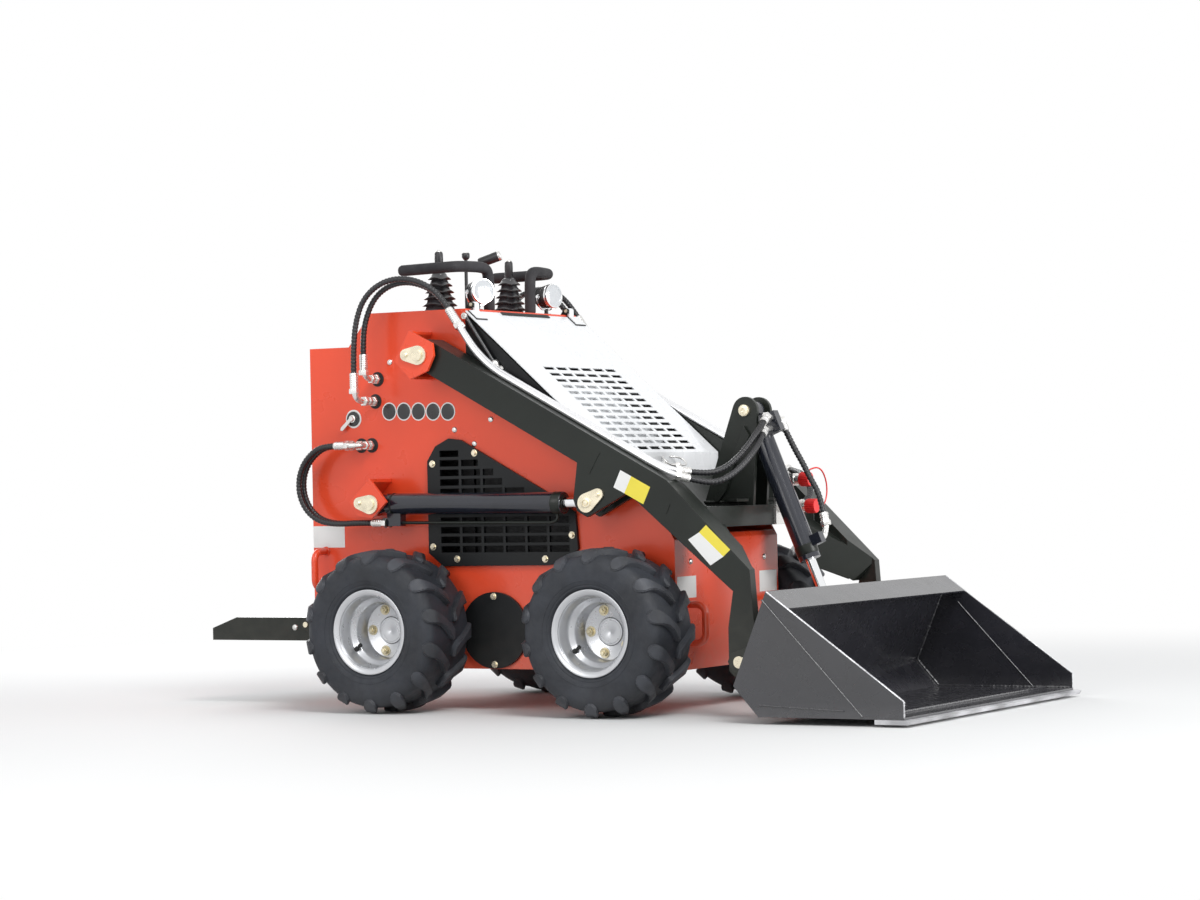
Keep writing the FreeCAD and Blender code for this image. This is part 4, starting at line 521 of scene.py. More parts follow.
for sign in (-1, 1):
    for number in range(BADGES):
        middle = Vector((-0.5345, sign * SIDE_FACE, 0.8449)) + BADGE_STEP * number
        oval = aim(middle, (0, sign, 0)) @ Matrix.Diagonal((1, 1.06, 1, 1))
        add(rim_mesh, lathe(((0, 0), (0, 0.0245), (0.0008, 0.0245), (0.0008, 0)), sides=40), oval)
        add(disc_mesh, lathe(((0, 0), (0, 0.0212), (0.0014, 0.0212), (0.0016, 0.0205), (0.0016, 0)),
                             sides=40), oval)
    add(rim_mesh, slab([(x, sign * SIDE_FACE, z) for x, z in REAR_LABEL], (0, sign * LABEL_THICK, 0)))
    add(rim_mesh, slab([(FRONT_FACE, sign * y, z) for y, z in FRONT_LABEL], (LABEL_THICK, 0, 0)))
key = aim((-0.6577, -SIDE_FACE, 0.827), (0, -1, 0))
add(rim_mesh, lathe(((0, 0), (0, 0.0265), (0.001, 0.0265), (0.001, 0)), sides=40), key)
add(disc_mesh, lathe(((0, 0), (0, 0.0215), (0.004, 0.021), (0.004, 0)), sides=40), key)
piece("badge_rims", rim_mesh, label_white, "frame_body")
piece("badge_discs", disc_mesh, badge_black, "frame_body")
mesh = bmesh.new()
add(mesh, lathe(((0.004, 0), (0.004, 0.011), (0.010, 0.011), (0.011, 0.008), (0.016, 0.007), (0.016, 0))),
    key)
add(mesh, slab([(-0.652, -0.317, 0.826), (-0.659, -0.317, 0.833), (-0.693, -0.317, 0.803),
                (-0.695, -0.317, 0.795), (-0.688, -0.317, 0.793)], Vector((0, -0.004, 0))))
piece("key_switch", mesh, plated, "frame_body")
ARM_FACE = 0.401
white_mesh = bmesh.new()
yellow_mesh = bmesh.new()
for sign in (-1, 1):
    for corners, sheet in (
            (((0.273, 0.6632), (0.3063, 0.6460), (0.2838, 0.6005), (0.2505, 0.6171)), white_mesh),
            (((0.3063, 0.6460), (0.364, 0.6158), (0.3417, 0.5700), (0.2838, 0.6005)), yellow_mesh),
            (((0.5098, 0.4930), (0.5814, 0.4280), (0.5422, 0.4049), (0.4763, 0.4740)), white_mesh),
            (((0.531, 0.5122), (0.6023, 0.4465), (0.5814, 0.4280), (0.5098, 0.4930)), yellow_mesh)):
        add(sheet, slab([(x, sign * ARM_FACE, z) for x, z in corners], (0, sign * LABEL_THICK, 0)))
piece("arm_labels_white", white_mesh, label_white, "arm_body")
piece("arm_labels_yellow", yellow_mesh, label_yellow, "arm_body")

# Hood
# Bent steel sheet in gloss white, with punched slots. Two strap hinges hold its upper edge, a sprung
# handle catches its lip, and a gas stay lies along the right side. The hinges' white leaves lie on dark
# pads, whose rims are painted shadow along the leaves' edges. A pale plate lies behind its slots, over a
# dark sheet that is painted shade for the dark inside.
white = material("white_enamel", (0.80, 0.81, 0.82), 0.28, coat=0.4, patches=0.02, patch_size=3, grain=420,
                 grain_deep=0.0001, edge=0.0015)
paint(("hood",), white)
down_slope = Vector((0.7466, 0, -0.6653))
off_slope = Vector((0.6653, 0, 0.7466))
hood_top = Vector((-0.2665, 0, 1.121))


def hood_sheet(mesh, low, high, start, end, lift, thick):
    """A flat sheet along the hood: across from low to high, down its slope from start to end."""
    corners = [hood_top + down_slope * run + Vector((0, y, 0)) + off_slope * lift
               for run, y in ((start, low), (start, high), (end, high), (end, low))]
    add(mesh, slab(corners, off_slope * thick))


gasket_and_shade_mesh = bmesh.new()
leaf_mesh = bmesh.new()
for sign in (-1, 1):
    # Dark pads under the hinge leaves. Their rims are a painted shadow along the leaves' edges.
    hood_sheet(gasket_and_shade_mesh, sign * 0.245, sign * 0.303, 0.002, 0.040, 0, 0.0022)
    hood_sheet(leaf_mesh, sign * 0.248, sign * 0.300, 0.002, 0.037, 0.0022, 0.0022)
hood_sheet(gasket_and_shade_mesh, -0.13, 0.13, 0.001, 0.012, 0, 0.003)
# A dark sheet under the slots, painted shade for the dark inside of the hood.
hood_sheet(gasket_and_shade_mesh, -0.29, 0.29, 0.10, 0.585, -0.026, 0.006)
piece("hood_gaskets_and_painted_shade", gasket_and_shade_mesh, grommet_rubber, "hood_body")
hood_sheet(leaf_mesh, -0.20, 0.075, 0.312, 0.575, -0.016, 0.006)
piece("hood_leaves", leaf_mesh, white, "hood_body")
mesh = bmesh.new()
for side in (-1, 1):
    wing = ((0.1935, side * 0.020, 0.700), (0.206, side * 0.046, 0.698), (0.219, side * 0.056, 0.690),
            (0.231, side * 0.052, 0.677), (0.234, side * 0.030, 0.674), (0.235, 0, 0.6735))
    sweep(mesh, along(route_points(wing), 0.004)[0], lambda k: 0.0024, sides=8)
add(mesh, lathe(((0, 0), (0, 0.016), (0.003, 0.016), (0.003, 0.007), (0.036, 0.006), (0.036, 0.0095),
                 (0.046, 0.0095), (0.049, 0.007), (0.049, 0)), sides=20),
    aim((0.1925, -0.004, 0.6735), (1, 0, 0)))
piece("hood_latch", mesh, plated, "hood_body")

chrome = material("hard_chrome", (0.88, 0.89, 0.90), 0.08, metallic=1.0, patches=0.02)
STAY_OUT = -0.318
top, ball = Vector((-0.2637, STAY_OUT, 1.1050)), Vector((-0.1697, STAY_OUT, 0.9677))
low, end = Vector((-0.1428, STAY_OUT, 0.9403)), Vector((0.0786, STAY_OUT, 0.8053))
rod_long, barrel_long, neck_long = (ball - top).length, (end - low).length, (low - ball).length
mesh = bmesh.new()
add(mesh, lathe(((0, 0.005), (rod_long, 0.005))), aim(top, ball - top))
add(mesh, lathe(((0, 0), (0, 0.011), (barrel_long * 0.9, 0.011), (barrel_long * 0.92, 0.007),
                 (barrel_long, 0.006), (barrel_long, 0))), aim(low, end - low))
piece("hood_stay", mesh, badge_black, "frame_body")
mesh = bmesh.new()
bmesh.ops.create_uvsphere(mesh, u_segments=20, v_segments=12, radius=0.012, matrix=Matrix.Translation(ball))
add(mesh, lathe(((0, 0), (0, 0.007), (neck_long, 0.007), (neck_long, 0))), aim(ball, low - ball))
nut(mesh, ball + (low - ball) * 0.45, (low - ball).normalized(), 0.019, 0.012)
for point in (top, end):
    add(mesh, lathe(((-0.013, 0), (-0.013, 0.005), (0.004, 0.005), (0.006, 0.009), (0.010, 0.009),
                     (0.010, 0)), sides=16), aim(point, (0, -1, 0)))
piece("hood_stay_ball", mesh, plated, "frame_body")

# Arms
# Welded box arms in black enamel, with a tower of two plates on their cross tube for the tilt cylinder.
# The pins' ends are held by pale plated keepers, each with a bolt.
paint(("arm_R", "arm_L", "cross_tube", "hitch"), black)
paint(("arm_pins", "frame_pins", "hitch_pins", "platform_pins"), zinc)
KEEPER_THICK = 0.006


def keeper(mesh, pin, y, sign, round_end, tail):
    """A teardrop plate over a pin's end, bolted at its narrow end."""
    x, z = pin
    heading = math.atan2(-tail[1], -tail[0])
    rim = []
    for k in range(19):
        turn = heading - math.pi * 0.56 + k * math.pi * 1.12 / 18
        rim.append((x + round_end * math.cos(turn), z + round_end * math.sin(turn)))
    for k in range(9):
        turn = heading + math.pi * 0.56 + k * math.pi * 0.88 / 8
        rim.append((x + tail[0] + round_end * 0.62 * math.cos(turn),
                    z + tail[1] + round_end * 0.62 * math.sin(turn)))
    add(mesh, slab([(rim_x, sign * y, rim_z) for rim_x, rim_z in rim], (0, sign * KEEPER_THICK, 0)))
    outward = Vector((0, sign, 0))
    face = sign * (y + KEEPER_THICK)
    add(mesh, lathe(((0, 0.0135), (0.003, 0.0135), (0.004, 0.0120), (0.004, 0.0095), (0.0012, 0.0090),
                     (0.0012, 0.0070), (0.004, 0.0062), (0.0045, 0)), sides=24), aim((x, face, z), outward))
    bolt(mesh, (x + tail[0], face, z + tail[1]), outward, 0.011)


TILT_PIN = (0.4695, 0.821)
mesh = bmesh.new()
arm_mesh = bmesh.new()
for sign in (-1, 1):
    keeper(mesh, ARM_PIN, 0.421, sign, 0.027, (-0.040, 0.002))
    keeper(mesh, BARREL_PIN, 0.421, sign, 0.027, (-0.036, 0.004))
    keeper(arm_mesh, (0.1665, 0.576), 0.402, sign, 0.026, (0.037, 0.023))
    add(arm_mesh, lathe(((0, 0), (0, 0.014), (0.003, 0.014), (0.0035, 0.006), (0.001, 0.005), (0.001, 0)),
                        sides=24), aim((TILT_PIN[0], sign * 0.054, TILT_PIN[1]), (0, sign, 0)))
piece("frame_keepers", mesh, zinc, "frame_body")
piece("arm_keepers", arm_mesh, zinc, "arm_body")

TOWER_ROUND = 0.038
crown = [(TILT_PIN[0] + TOWER_ROUND * math.cos(turn), TILT_PIN[1] + TOWER_ROUND * math.sin(turn))
         for turn in map(math.radians, (*range(160, 0, -15), -4))]
mesh = bmesh.new()
for sign in (-1, 1):
    add(mesh, slab([(x, sign * 0.034, z) for x, z in [(0.336, 0.559), *crown, (0.490, 0.559)]],
                   (0, sign * 0.012, 0)))
piece("tower_plates", mesh, black, "arm_body", replaces=("tower_ears",), smooth=35)

TOWER_RIB = ((0.470, 0.778), (0.487, 0.752), (0.445, 0.690), (0.410, 0.600), (0.385, 0.570), (0.372, 0.570))
mesh = bmesh.new()
for sign in (-1, 1):
    for run in (((0.2098, 0.7117), (0.1762, 0.6563)), ((0.4226, 0.5688), (0.4116, 0.5443))):
        weld(mesh, [(x, sign * ARM_FACE, z) for x, z in run], 0.002)
    weld(mesh, [(0.338, sign * 0.047, 0.570), (0.470, sign * 0.047, 0.570)], 0.004)
    weld(mesh, [(0.334, sign * 0.3205, 0.5605), (0.490, sign * 0.3205, 0.5605)], 0.004)
    weld(mesh, [(0.492, sign * 0.3205, 0.5600), (0.492, sign * 0.3205, 0.5050)], 0.004)
    add(mesh, slab([(x, sign * 0.046, z) for x, z in TOWER_RIB], (0, sign * 0.010, 0)))
    add(mesh, slab([(0.405, sign * 0.056, 0.570), (0.478, sign * 0.120, 0.570), (0.482, sign * 0.056, 0.570)],
                   (0, 0, 0.008)))
piece("arm_welds", mesh, black, "arm_body", smooth=70)

# Cylinders
# Black enamelled barrels with hard-chromed rods, each with a wiper ring where its rod comes out. One on
# each side lifts the arms, and one in the middle tips the bucket.
barrel_enamel = material("barrel_enamel", (0.010, 0.012, 0.020), 0.20, coat=0.5, patches=0.15, grain=300,
                         grain_deep=0.0002, edge=0.002)
paint(("lift_barrel_R", "lift_barrel_L", "tilt_barrel"), barrel_enamel)
paint(("cylinder_lines_R", "cylinder_lines_L"), black)
paint(("lift_rod_R", "lift_rod_L", "tilt_rod"), chrome)
lift_ahead = Vector((0.999963, 0, -0.008602))
tilt_ahead = Vector((0.379368, 0, -0.925246))
for name, barrel, (x, z), y, ahead, long in (
        # ring, barrel, pin, out from the middle, way the rod goes, pin to gland
        ("gland_ring_R", "lift_barrel_R", BARREL_PIN, -0.361, lift_ahead, 0.600),
        ("gland_ring_L", "lift_barrel_L", BARREL_PIN, 0.361, lift_ahead, 0.600),
        ("gland_ring_tilt", "tilt_barrel", TILT_PIN, 0, tilt_ahead, 0.436)):
    base = Vector((x, y, z))
    mesh = bmesh.new()
    add(mesh, lathe(((-0.030, 0.0302), (-0.030, 0.0315), (-0.004, 0.0315), (-0.001, 0.029), (0.001, 0.024),
                     (0.0025, 0.0185), (0.0025, 0.016))), aim(base + ahead * long, ahead))
    add(mesh, lathe(((0.040, 0.0302), (0.040, 0.0312), (0.046, 0.0312), (0.046, 0.0302))), aim(base, ahead))
    piece(name, mesh, black, f"{barrel}_body")

# Bucket
# Bent and welded shell in gloss black enamel, its sides welded up from two plates each. The cutting
# edge is bolted under its floor. Digging has worn that edge to bare steel. Bare steel strips along the
# sides' front rims stand for wear and for a painted highlight along those edges.
bucket_black = material("bucket_enamel", (0.016, 0.016, 0.021), 0.27, coat=0.55, patches=0.25, patch_size=4,
                       grain=300, grain_deep=0.0002, dust=((0.30, 0.29, 0.30), 0.0, 0.06, 0.25), edge=0.002,
                       gleam=0.8)
# Bare steel: worn on the cutting edge, and on the sides' front rims also a painted highlight.
worn_steel_and_highlight = material("worn_steel_and_highlight", (0.62, 0.62, 0.64), 0.34, metallic=0.6, patches=0.35, patch_size=9,
                      grain=220, grain_deep=0.0006, edge=0.002)
paint(("bucket",), bucket_black)
paint(("cutting_edge",), worn_steel_and_highlight)
mesh = bmesh.new()
for sign in (-1, 1):
    for y in (0.5675, 0.5605):
        weld(mesh, [(0.7775, sign * y, 0.3207), (1.0568, sign * y, 0.0245)], 0.0022)
    weld(mesh, [(0.7639, sign * 0.5675, 0.0500), (1.0055, sign * 0.5675, 0.0390)], 0.0022)
    weld(mesh, [(0.795, sign * 0.560, 0.330), (0.6975, sign * 0.560, 0.101), (0.7645, sign * 0.560, 0.026),
                (1.165, sign * 0.560, 0.026)], 0.0045)
weld(mesh, [(1.096, -0.560, 0.0265), (1.096, 0.560, 0.0265)], 0.0035)
piece("bucket_welds", mesh, bucket_black, "bucket_body", smooth=70)
# Bright steel strips along the sides' front rims, partly wear and partly a painted highlight along the edges.
mesh = bmesh.new()
for sign in (-1, 1):
    for y in (0.5632, 0.5664):
        weld(mesh, [(0.7900, sign * y, 0.3415), (1.1715, sign * y, 0.0655), (1.1715, sign * y, 0.024)],
             0.0016)
piece("bucket_worn_and_highlight_edges", mesh, worn_steel_and_highlight, "bucket_body", smooth=70)

# Wheels
# Pressed rims in silver enamel on five yellow-plated bolts, with a rubber valve, on black drive motors.
# The tyres have fourteen curved lugs on each half of the tread, staggered, each with a round nose at the
# middle and a broad end over the shoulder.
silver = material("silver_enamel", (0.58, 0.59, 0.61), 0.30, metallic=0.70, coat=0.3, patches=0.05, grain=300,
                  grain_deep=0.0001, edge=0.0015)
gold = material("gold_plate", (0.74, 0.66, 0.46), 0.32, metallic=0.85, patches=0.15, patch_size=40,
                edge=0.0006)
tyre_rubber = material("tyre_rubber", (0.020, 0.023, 0.030), 0.62, patches=0.3, patch_size=9, grain=240,
                       grain_deep=0.0008, dust=((0.22, 0.21, 0.20), 0.0, 0.10, 0.2), edge=0.0012)
lug_rubber = material("lug_rubber", (0.036, 0.039, 0.047), 0.55, patches=0.35, patch_size=12, grain=240,
                      grain_deep=0.0008, dust=((0.24, 0.23, 0.22), 0.0, 0.06, 0.3), edge=0.0016)
WHEEL_RADIUS = 0.2286
WHEEL_MIDDLE = 0.433
FRONT_AXLE = 0.2415
REAR_AXLE = -0.4685
BOLT_CIRCLE = 0.060
WHEEL_BOLTS = 5
LUGS = 14
CARCASS = (
    # from the middle of the tread, radius
    (0.0930, 0.1060), (0.0940, 0.1185), (0.0975, 0.1225), (0.1010, 0.1240), (0.1025, 0.1270),
    (0.1020, 0.1300), (0.1045, 0.1330), (0.1058, 0.1420), (0.1066, 0.1422), (0.1068, 0.1438),
    (0.1062, 0.1442), (0.1070, 0.1520), (0.1074, 0.1640), (0.1070, 0.1760), (0.1052, 0.1860),
    (0.1015, 0.1950), (0.0950, 0.2030), (0.0860, 0.2085), (0.0740, 0.2112), (0.0400, 0.2126),
    (0.0000, 0.2128))
LUG = (
    # from the middle of the tread, outer radius, place below it, half width, lead ahead of the shoulder
    (0.0020, 0.2225, (0.004, 0.206), 0.0085, 0.0620),
    (0.0045, 0.2278, (0.006, 0.206), 0.0145, 0.0605),
    (0.0110, 0.2285, (0.011, 0.206), 0.0172, 0.0555),
    (0.0200, 0.2285, (0.020, 0.206), 0.0170, 0.0475),
    (0.0310, 0.2285, (0.030, 0.206), 0.0140, 0.0380),
    (0.0450, 0.2283, (0.045, 0.206), 0.0128, 0.0270),
    (0.0600, 0.2275, (0.058, 0.205), 0.0140, 0.0170),
    (0.0740, 0.2255, (0.070, 0.203), 0.0168, 0.0100),
    (0.0860, 0.2222, (0.080, 0.199), 0.0196, 0.0050),
    (0.0955, 0.2155, (0.088, 0.194), 0.0214, 0.0020),
    (0.1030, 0.2060, (0.093, 0.189), 0.0208, 0.0000),
    (0.1070, 0.1975, (0.097, 0.184), 0.0160, -0.0010),
    (0.1078, 0.1880, (0.099, 0.181), 0.0060, -0.0020))


def tyre(outward):
    """A tyre's carcass and its lugs about Y, the middle at the origin."""
    rubber = bmesh.new()
    tread = bmesh.new()
    profile = [(y, radius) for y, radius in CARCASS] + [(-y, radius) for y, radius in CARCASS[-2::-1]]
    add(rubber, lathe(profile, sides=112), aim((0, 0, 0), (0, 1, 0)))
    for half in (-1, 1):
        lug = bmesh.new()
        rings = []
        for y, radius, (base_y, base_radius), wide, lead in LUG:
            draft = wide + 0.0035
            ring = []
            for across_y, out, shift in ((base_y, base_radius, -draft), (y, radius, -wide), (y, radius, wide),
                                         (base_y, base_radius, draft)):
                turn = (lead + shift) / WHEEL_RADIUS
                ring.append(lug.verts.new((out * math.sin(turn), half * across_y, out * math.cos(turn))))
            rings.append(ring)
        for ring, following in zip(rings, rings[1:]):
            for k in range(3):
                lug.faces.new((ring[k], ring[k + 1], following[k + 1], following[k]))
        lug.faces.new(rings[0])
        lug.faces.new(rings[-1])
        bmesh.ops.recalc_face_normals(lug, faces=lug.faces)
        crest = [edge for edge in lug.edges if all(vertex.co.xz.length > 0.1865 for vertex in edge.verts)
                 and edge.calc_face_angle(0) > math.radians(38)]
        bmesh.ops.bevel(lug, geom=crest, offset=0.0022, segments=2, affect="EDGES")
        start = 0 if half > 0 else math.pi / LUGS
        for number in range(LUGS):
            add(tread, lug.copy(), Matrix.Rotation(start + number * math.tau / LUGS, 4, "Y"))
        lug.free()
    if outward < 0:
        for part in (rubber, tread):
            bmesh.ops.transform(part, matrix=Matrix.Scale(-1, 4, (0, 1, 0)), verts=part.verts)
    return rubber, tread


RIM = (
    # from the middle of the tread, radius
    (0.0978, 0.1183), (0.0930, 0.1183), (0.0910, 0.1015), (-0.0910, 0.1015), (-0.0930, 0.1183),
    (-0.0978, 0.1183), (-0.0978, 0.0965), (-0.0230, 0.0790), (-0.0230, 0.0385), (-0.0160, 0.0385),
    (-0.0150, 0.0400), (-0.0150, 0.0730), (-0.0120, 0.0775), (-0.0060, 0.0790), (0.0340, 0.0795),
    (0.0390, 0.0830), (0.0450, 0.0930), (0.0500, 0.0968), (0.0560, 0.0972), (0.0800, 0.0976),
    (0.0880, 0.0995), (0.0935, 0.1040), (0.0965, 0.1100), (0.0982, 0.1150), (0.0982, 0.1175),
    (0.0978, 0.1183))
motor_mesh = bmesh.new()
for corner, x, sign in (
        ("FR", FRONT_AXLE, -1), ("FL", FRONT_AXLE, 1), ("RR", REAR_AXLE, -1), ("RL", REAR_AXLE, 1)):
    hub = Vector((x, sign * WHEEL_MIDDLE, WHEEL_RADIUS))
    outward = Vector((0, sign, 0))
    body = f"wheel_{corner}_body"
    mesh = bmesh.new()
    add(mesh, lathe(RIM, sides=96), aim(hub, outward))
    piece(f"wheel_rim_{corner}", mesh, silver, body, replaces=(f"rim_{corner}",), smooth=35)
    add(motor_mesh, lathe(((-0.127, 0), (-0.127, 0.070), (-0.095, 0.070), (-0.095, 0.045), (-0.060, 0.043),
                           (-0.058, 0.036), (-0.026, 0.034), (-0.024, 0.031), (-0.024, 0)), sides=48),
        aim(hub, outward))
    carcass, lugs = tyre(sign)
    for part in (carcass, lugs):
        bmesh.ops.translate(part, vec=hub, verts=part.verts)
    piece(f"tyre_lugs_{corner}", lugs, lug_rubber, body, smooth=32)
    piece(f"tyre_tread_{corner}", carcass, tyre_rubber, body, replaces=(f"tyre_{corner}",), smooth=42)
    mesh = bmesh.new()
    for number in range(WHEEL_BOLTS):
        turn = math.pi + number * math.tau / WHEEL_BOLTS
        place = hub + Vector((BOLT_CIRCLE * math.cos(turn), -sign * 0.015, BOLT_CIRCLE * math.sin(turn)))
        bolt(mesh, place, outward, 0.0185)
        add(mesh, lathe(((0, 0), (0, 0.0055), (0.016, 0.0055), (0.017, 0.0045), (0.017, 0)), sides=12),
            aim(place, outward))
    piece(f"wheel_bolts_{corner}", mesh, gold, body)
    mesh = bmesh.new()
    add(mesh, lathe(((0, 0), (0, 0.0375), (0.008, 0.0375), (0.0095, 0.0360), (0.0095, 0.0325),
                     (0.0080, 0.0310), (0.0080, 0.006), (0.0070, 0.004), (0.0070, 0)), sides=64),
        aim(hub - outward * 0.0225, outward))
    piece(f"wheel_cap_{corner}", mesh, silver, body)
    mesh = bmesh.new()
    seat = hub + Vector((-0.0770, sign * 0.044, -0.0500))
    inward = Vector((0.80, sign * 0.25, 0.54)).normalized()
    add(mesh, lathe(((-0.004, 0), (-0.004, 0.0085), (0.003, 0.0075), (0.006, 0.0048), (0.014, 0.0042),
                     (0.014, 0.0056), (0.022, 0.0056), (0.023, 0.004), (0.023, 0)), sides=16),
        aim(seat, inward))
    piece(f"wheel_valve_{corner}", mesh, grommet_rubber, body)
piece("motor_flanges", motor_mesh, black, "frame_body", replaces=("wheel_motors",))

# Console
# Steel hand bars in a foam cover, rubber bellows clamped round the levers, and black work lamps with
# chromed rings on wire stirrups, all on the console's deck.
foam = material("foam_rubber", (0.024, 0.023, 0.026), 0.78, patches=0.2, grain=700, grain_deep=0.0008)
bellows_rubber = material("bellows_rubber", (0.020, 0.020, 0.023), 0.30, patches=0.2, grain=400,
                          grain_deep=0.0002, coat=0.3, edge=0.0012, gleam=0.8)
plastic = material("black_plastic", (0.02, 0.02, 0.022), 0.40, patches=0.1, grain=800, grain_deep=0.0002,
                   edge=0.001)
cap_red = material("cap_red", (0.72, 0.02, 0.02), 0.35, patches=0.08, grain=500, grain_deep=0.0002,
                   edge=0.001)
lens_glass = material("lens_glass", (0.62, 0.64, 0.66), 0.10, metallic=0.5, coat=0.6, patches=0.02,
                      grain=180, grain_deep=0.0006)
DECK = 1.127
HAND_BAR = (
    (-0.3125, 0.113, DECK), (-0.3125, 0.113, 1.180), (-0.3125, 0.114, 1.222), (-0.3130, 0.122, 1.247),
    (-0.3150, 0.150, 1.2525), (-0.3180, 0.200, 1.2520), (-0.3260, 0.246, 1.2510), (-0.3500, 0.260, 1.2500),
    (-0.4300, 0.256, 1.2490), (-0.5230, 0.250, 1.2475))
for side, sign in (("R", -1), ("L", 1)):
    line = along(route_points([(x, sign * y, z) for x, y, z in HAND_BAR]), 0.006)[0]
    last = len(line) - 1
    mesh = sweep(bmesh.new(), line, lambda k: 0.0160 if 0 < k < last else 0.0135, sides=24)
    piece(f"hand_bar_{side}", mesh, foam, "frame_body", replaces=("hand_bars",), smooth=75)

LAMPS = (
    # middle of the lens, turn from straight ahead
    (Vector((-0.2790, -0.1980, 1.1810)), math.radians(-27)),
    (Vector((-0.2820, 0.1950, 1.1820)), math.radians(-12)))
STIRRUP = (
    # aside from the lamp's middle, down from it
    (0.037, 0), (0.038, 0.018), (0.020, 0.038), (0, 0.036), (-0.020, 0.038), (-0.038, 0.018), (-0.037, 0))
FINS = 4
ring_mesh = bmesh.new()
glass_mesh = bmesh.new()
shell_mesh = bmesh.new()
for face, turn in LAMPS:
    ahead = Vector((math.cos(turn), math.sin(turn), 0.06)).normalized()
    aside = Vector((-ahead.y, ahead.x, 0)).normalized()
    lamp = aim(face, ahead)
    add(shell_mesh, lathe(((-0.064, 0), (-0.064, 0.014), (-0.060, 0.018), (-0.046, 0.027), (-0.030, 0.0325),
                           (-0.008, 0.0350), (0, 0.0350), (0, 0.0300), (-0.002, 0)), sides=48), lamp)
    for fin in range(FINS):
        start, edge = -0.050 + fin * 0.009, 0.0305 + fin * 0.0012
        add(shell_mesh, lathe(((start, 0.020), (start, edge), (start + 0.003, edge), (start + 0.003, 0.020)),
                              sides=48), lamp)
    middle = face - ahead * 0.030
    add(shell_mesh, lathe(((0, 0), (0, 0.014), (0.003, 0.014), (0.003, 0.006), (0.018, 0.006), (0.018, 0))),
        aim((middle.x, middle.y, DECK + 0.0005), (0, 0, 1)))
    wire = [middle + aside * out - Vector((0, 0, drop)) for out, drop in STIRRUP]
    sweep(ring_mesh, along(route_points(wire), 0.005)[0], lambda k: 0.0026, sides=8)
    for end in (-1, 1):
        bolt(ring_mesh, middle + aside * 0.034 * end, aside * end, 0.009)
    add(ring_mesh, lathe(((-0.009, 0.0352), (-0.007, 0.0366), (0.001, 0.0366), (0.0035, 0.0352),
                          (0.0035, 0.0328), (0.0008, 0.0318)), sides=64), lamp)
    add(glass_mesh, lathe(((0.0008, 0.0320), (0.0020, 0.026), (0.0032, 0.018), (0.0040, 0.009), (0.0043, 0)),
                          sides=64), lamp)
piece("lamp_shells", shell_mesh, plastic, "frame_body", replaces=("work_lamps",))
piece("lamp_rings", ring_mesh, chrome, "frame_body")
piece("lamp_lenses", glass_mesh, lens_glass, "frame_body")

FOLDS = 6
BOOT_HIGH = 0.113
BOOT_HALF = 0.047
LEVER_X = -0.4315
LEVER_Y = 0.190
PLEAT = (
    # share of a fold's height, drawn in from its lip
    (0.06, 0.0100), (0.16, 0.0015), (0.24, 0), (0.32, 0.0012), (0.60, 0.0085), (0.90, 0.0110))
boot_top = DECK + BOOT_HIGH
profile = [(DECK + (fold + share) * BOOT_HIGH / FOLDS, BOOT_HALF - 0.0215 * fold / FOLDS - pinch)
           for fold in range(FOLDS) for share, pinch in PLEAT]
profile += [(boot_top - 0.001, 0.018), (boot_top + 0.003, 0.011), (boot_top + 0.004, 0.008)]
for side, sign in (("R", -1), ("L", 1)):
    mesh = lathe(profile, sides=48)
    for vertex in mesh.verts:
        x, y, z = vertex.co
        half = math.hypot(x, y)
        square = half / (x ** 4 + y ** 4) ** 0.25
        sag = 0.0050 * (square - 1) / 0.19 * min(1, half / 0.03)
        vertex.co = (x * square, y * square, max(DECK + 0.0002, z - sag))
    bmesh.ops.holes_fill(mesh, edges=mesh.edges)
    bmesh.ops.translate(mesh, vec=(LEVER_X, sign * LEVER_Y, 0), verts=mesh.verts)
    piece(f"lever_bellows_{side}", mesh, bellows_rubber, "frame_body", replaces=("lever_boots",),
          smooth=75)

grip_mesh = bmesh.new()
tip_mesh = bmesh.new()
for sign, grip_top in ((-1, 1.306), (1, 1.297)):
    grip = aim((LEVER_X, sign * LEVER_Y, grip_top - 0.075), (0, 0, 1))
    add(grip_mesh, lathe(((0, 0), (0, 0.006), (0.010, 0.006), (0.013, 0.0095), (0.018, 0.0118),
                          (0.050, 0.0125), (0.064, 0.0120), (0.069, 0.0100), (0.069, 0))), grip)
    add(tip_mesh, lathe(((0.069, 0), (0.069, 0.0095), (0.072, 0.0085), (0.0745, 0.005), (0.075, 0))), grip)
knob = aim((LEVER_X, -0.046, 1.144), (0, 0, 1))
add(grip_mesh, lathe(((-0.017, 0), (-0.017, 0.005), (0.140, 0.005), (0.143, 0.009), (0.148, 0.0115),
                      (0.158, 0.0115), (0.160, 0.010), (0.160, 0))), knob)
add(tip_mesh, lathe(((0.160, 0), (0.160, 0.010), (0.163, 0.008), (0.164, 0))), knob)
heel, tip = Vector((-0.416, 0.001, 1.276)), Vector((-0.358, 0.028, 1.298))
lean = (tip - heel).normalized()
grip_long = (tip - heel).length - 0.008
add(grip_mesh, lathe(((0, 0), (0, 0.012), (0.004, 0.0145), (grip_long, 0.0150), (grip_long, 0))),
    aim(heel, lean))
add(grip_mesh, lathe(((0, 0), (0, 0.005), (0.150, 0.005), (0.150, 0))), aim((-0.400, 0.008, DECK), (0, 0, 1)))
add(tip_mesh, lathe(((0, 0.0150), (0.006, 0.0150), (0.008, 0.013), (0.008, 0))),
    aim(tip - lean * 0.008, lean))
piece("lever_grips", grip_mesh, plastic, "frame_body", replaces=("control_levers",))
piece("lever_tips", tip_mesh, plated, "frame_body")

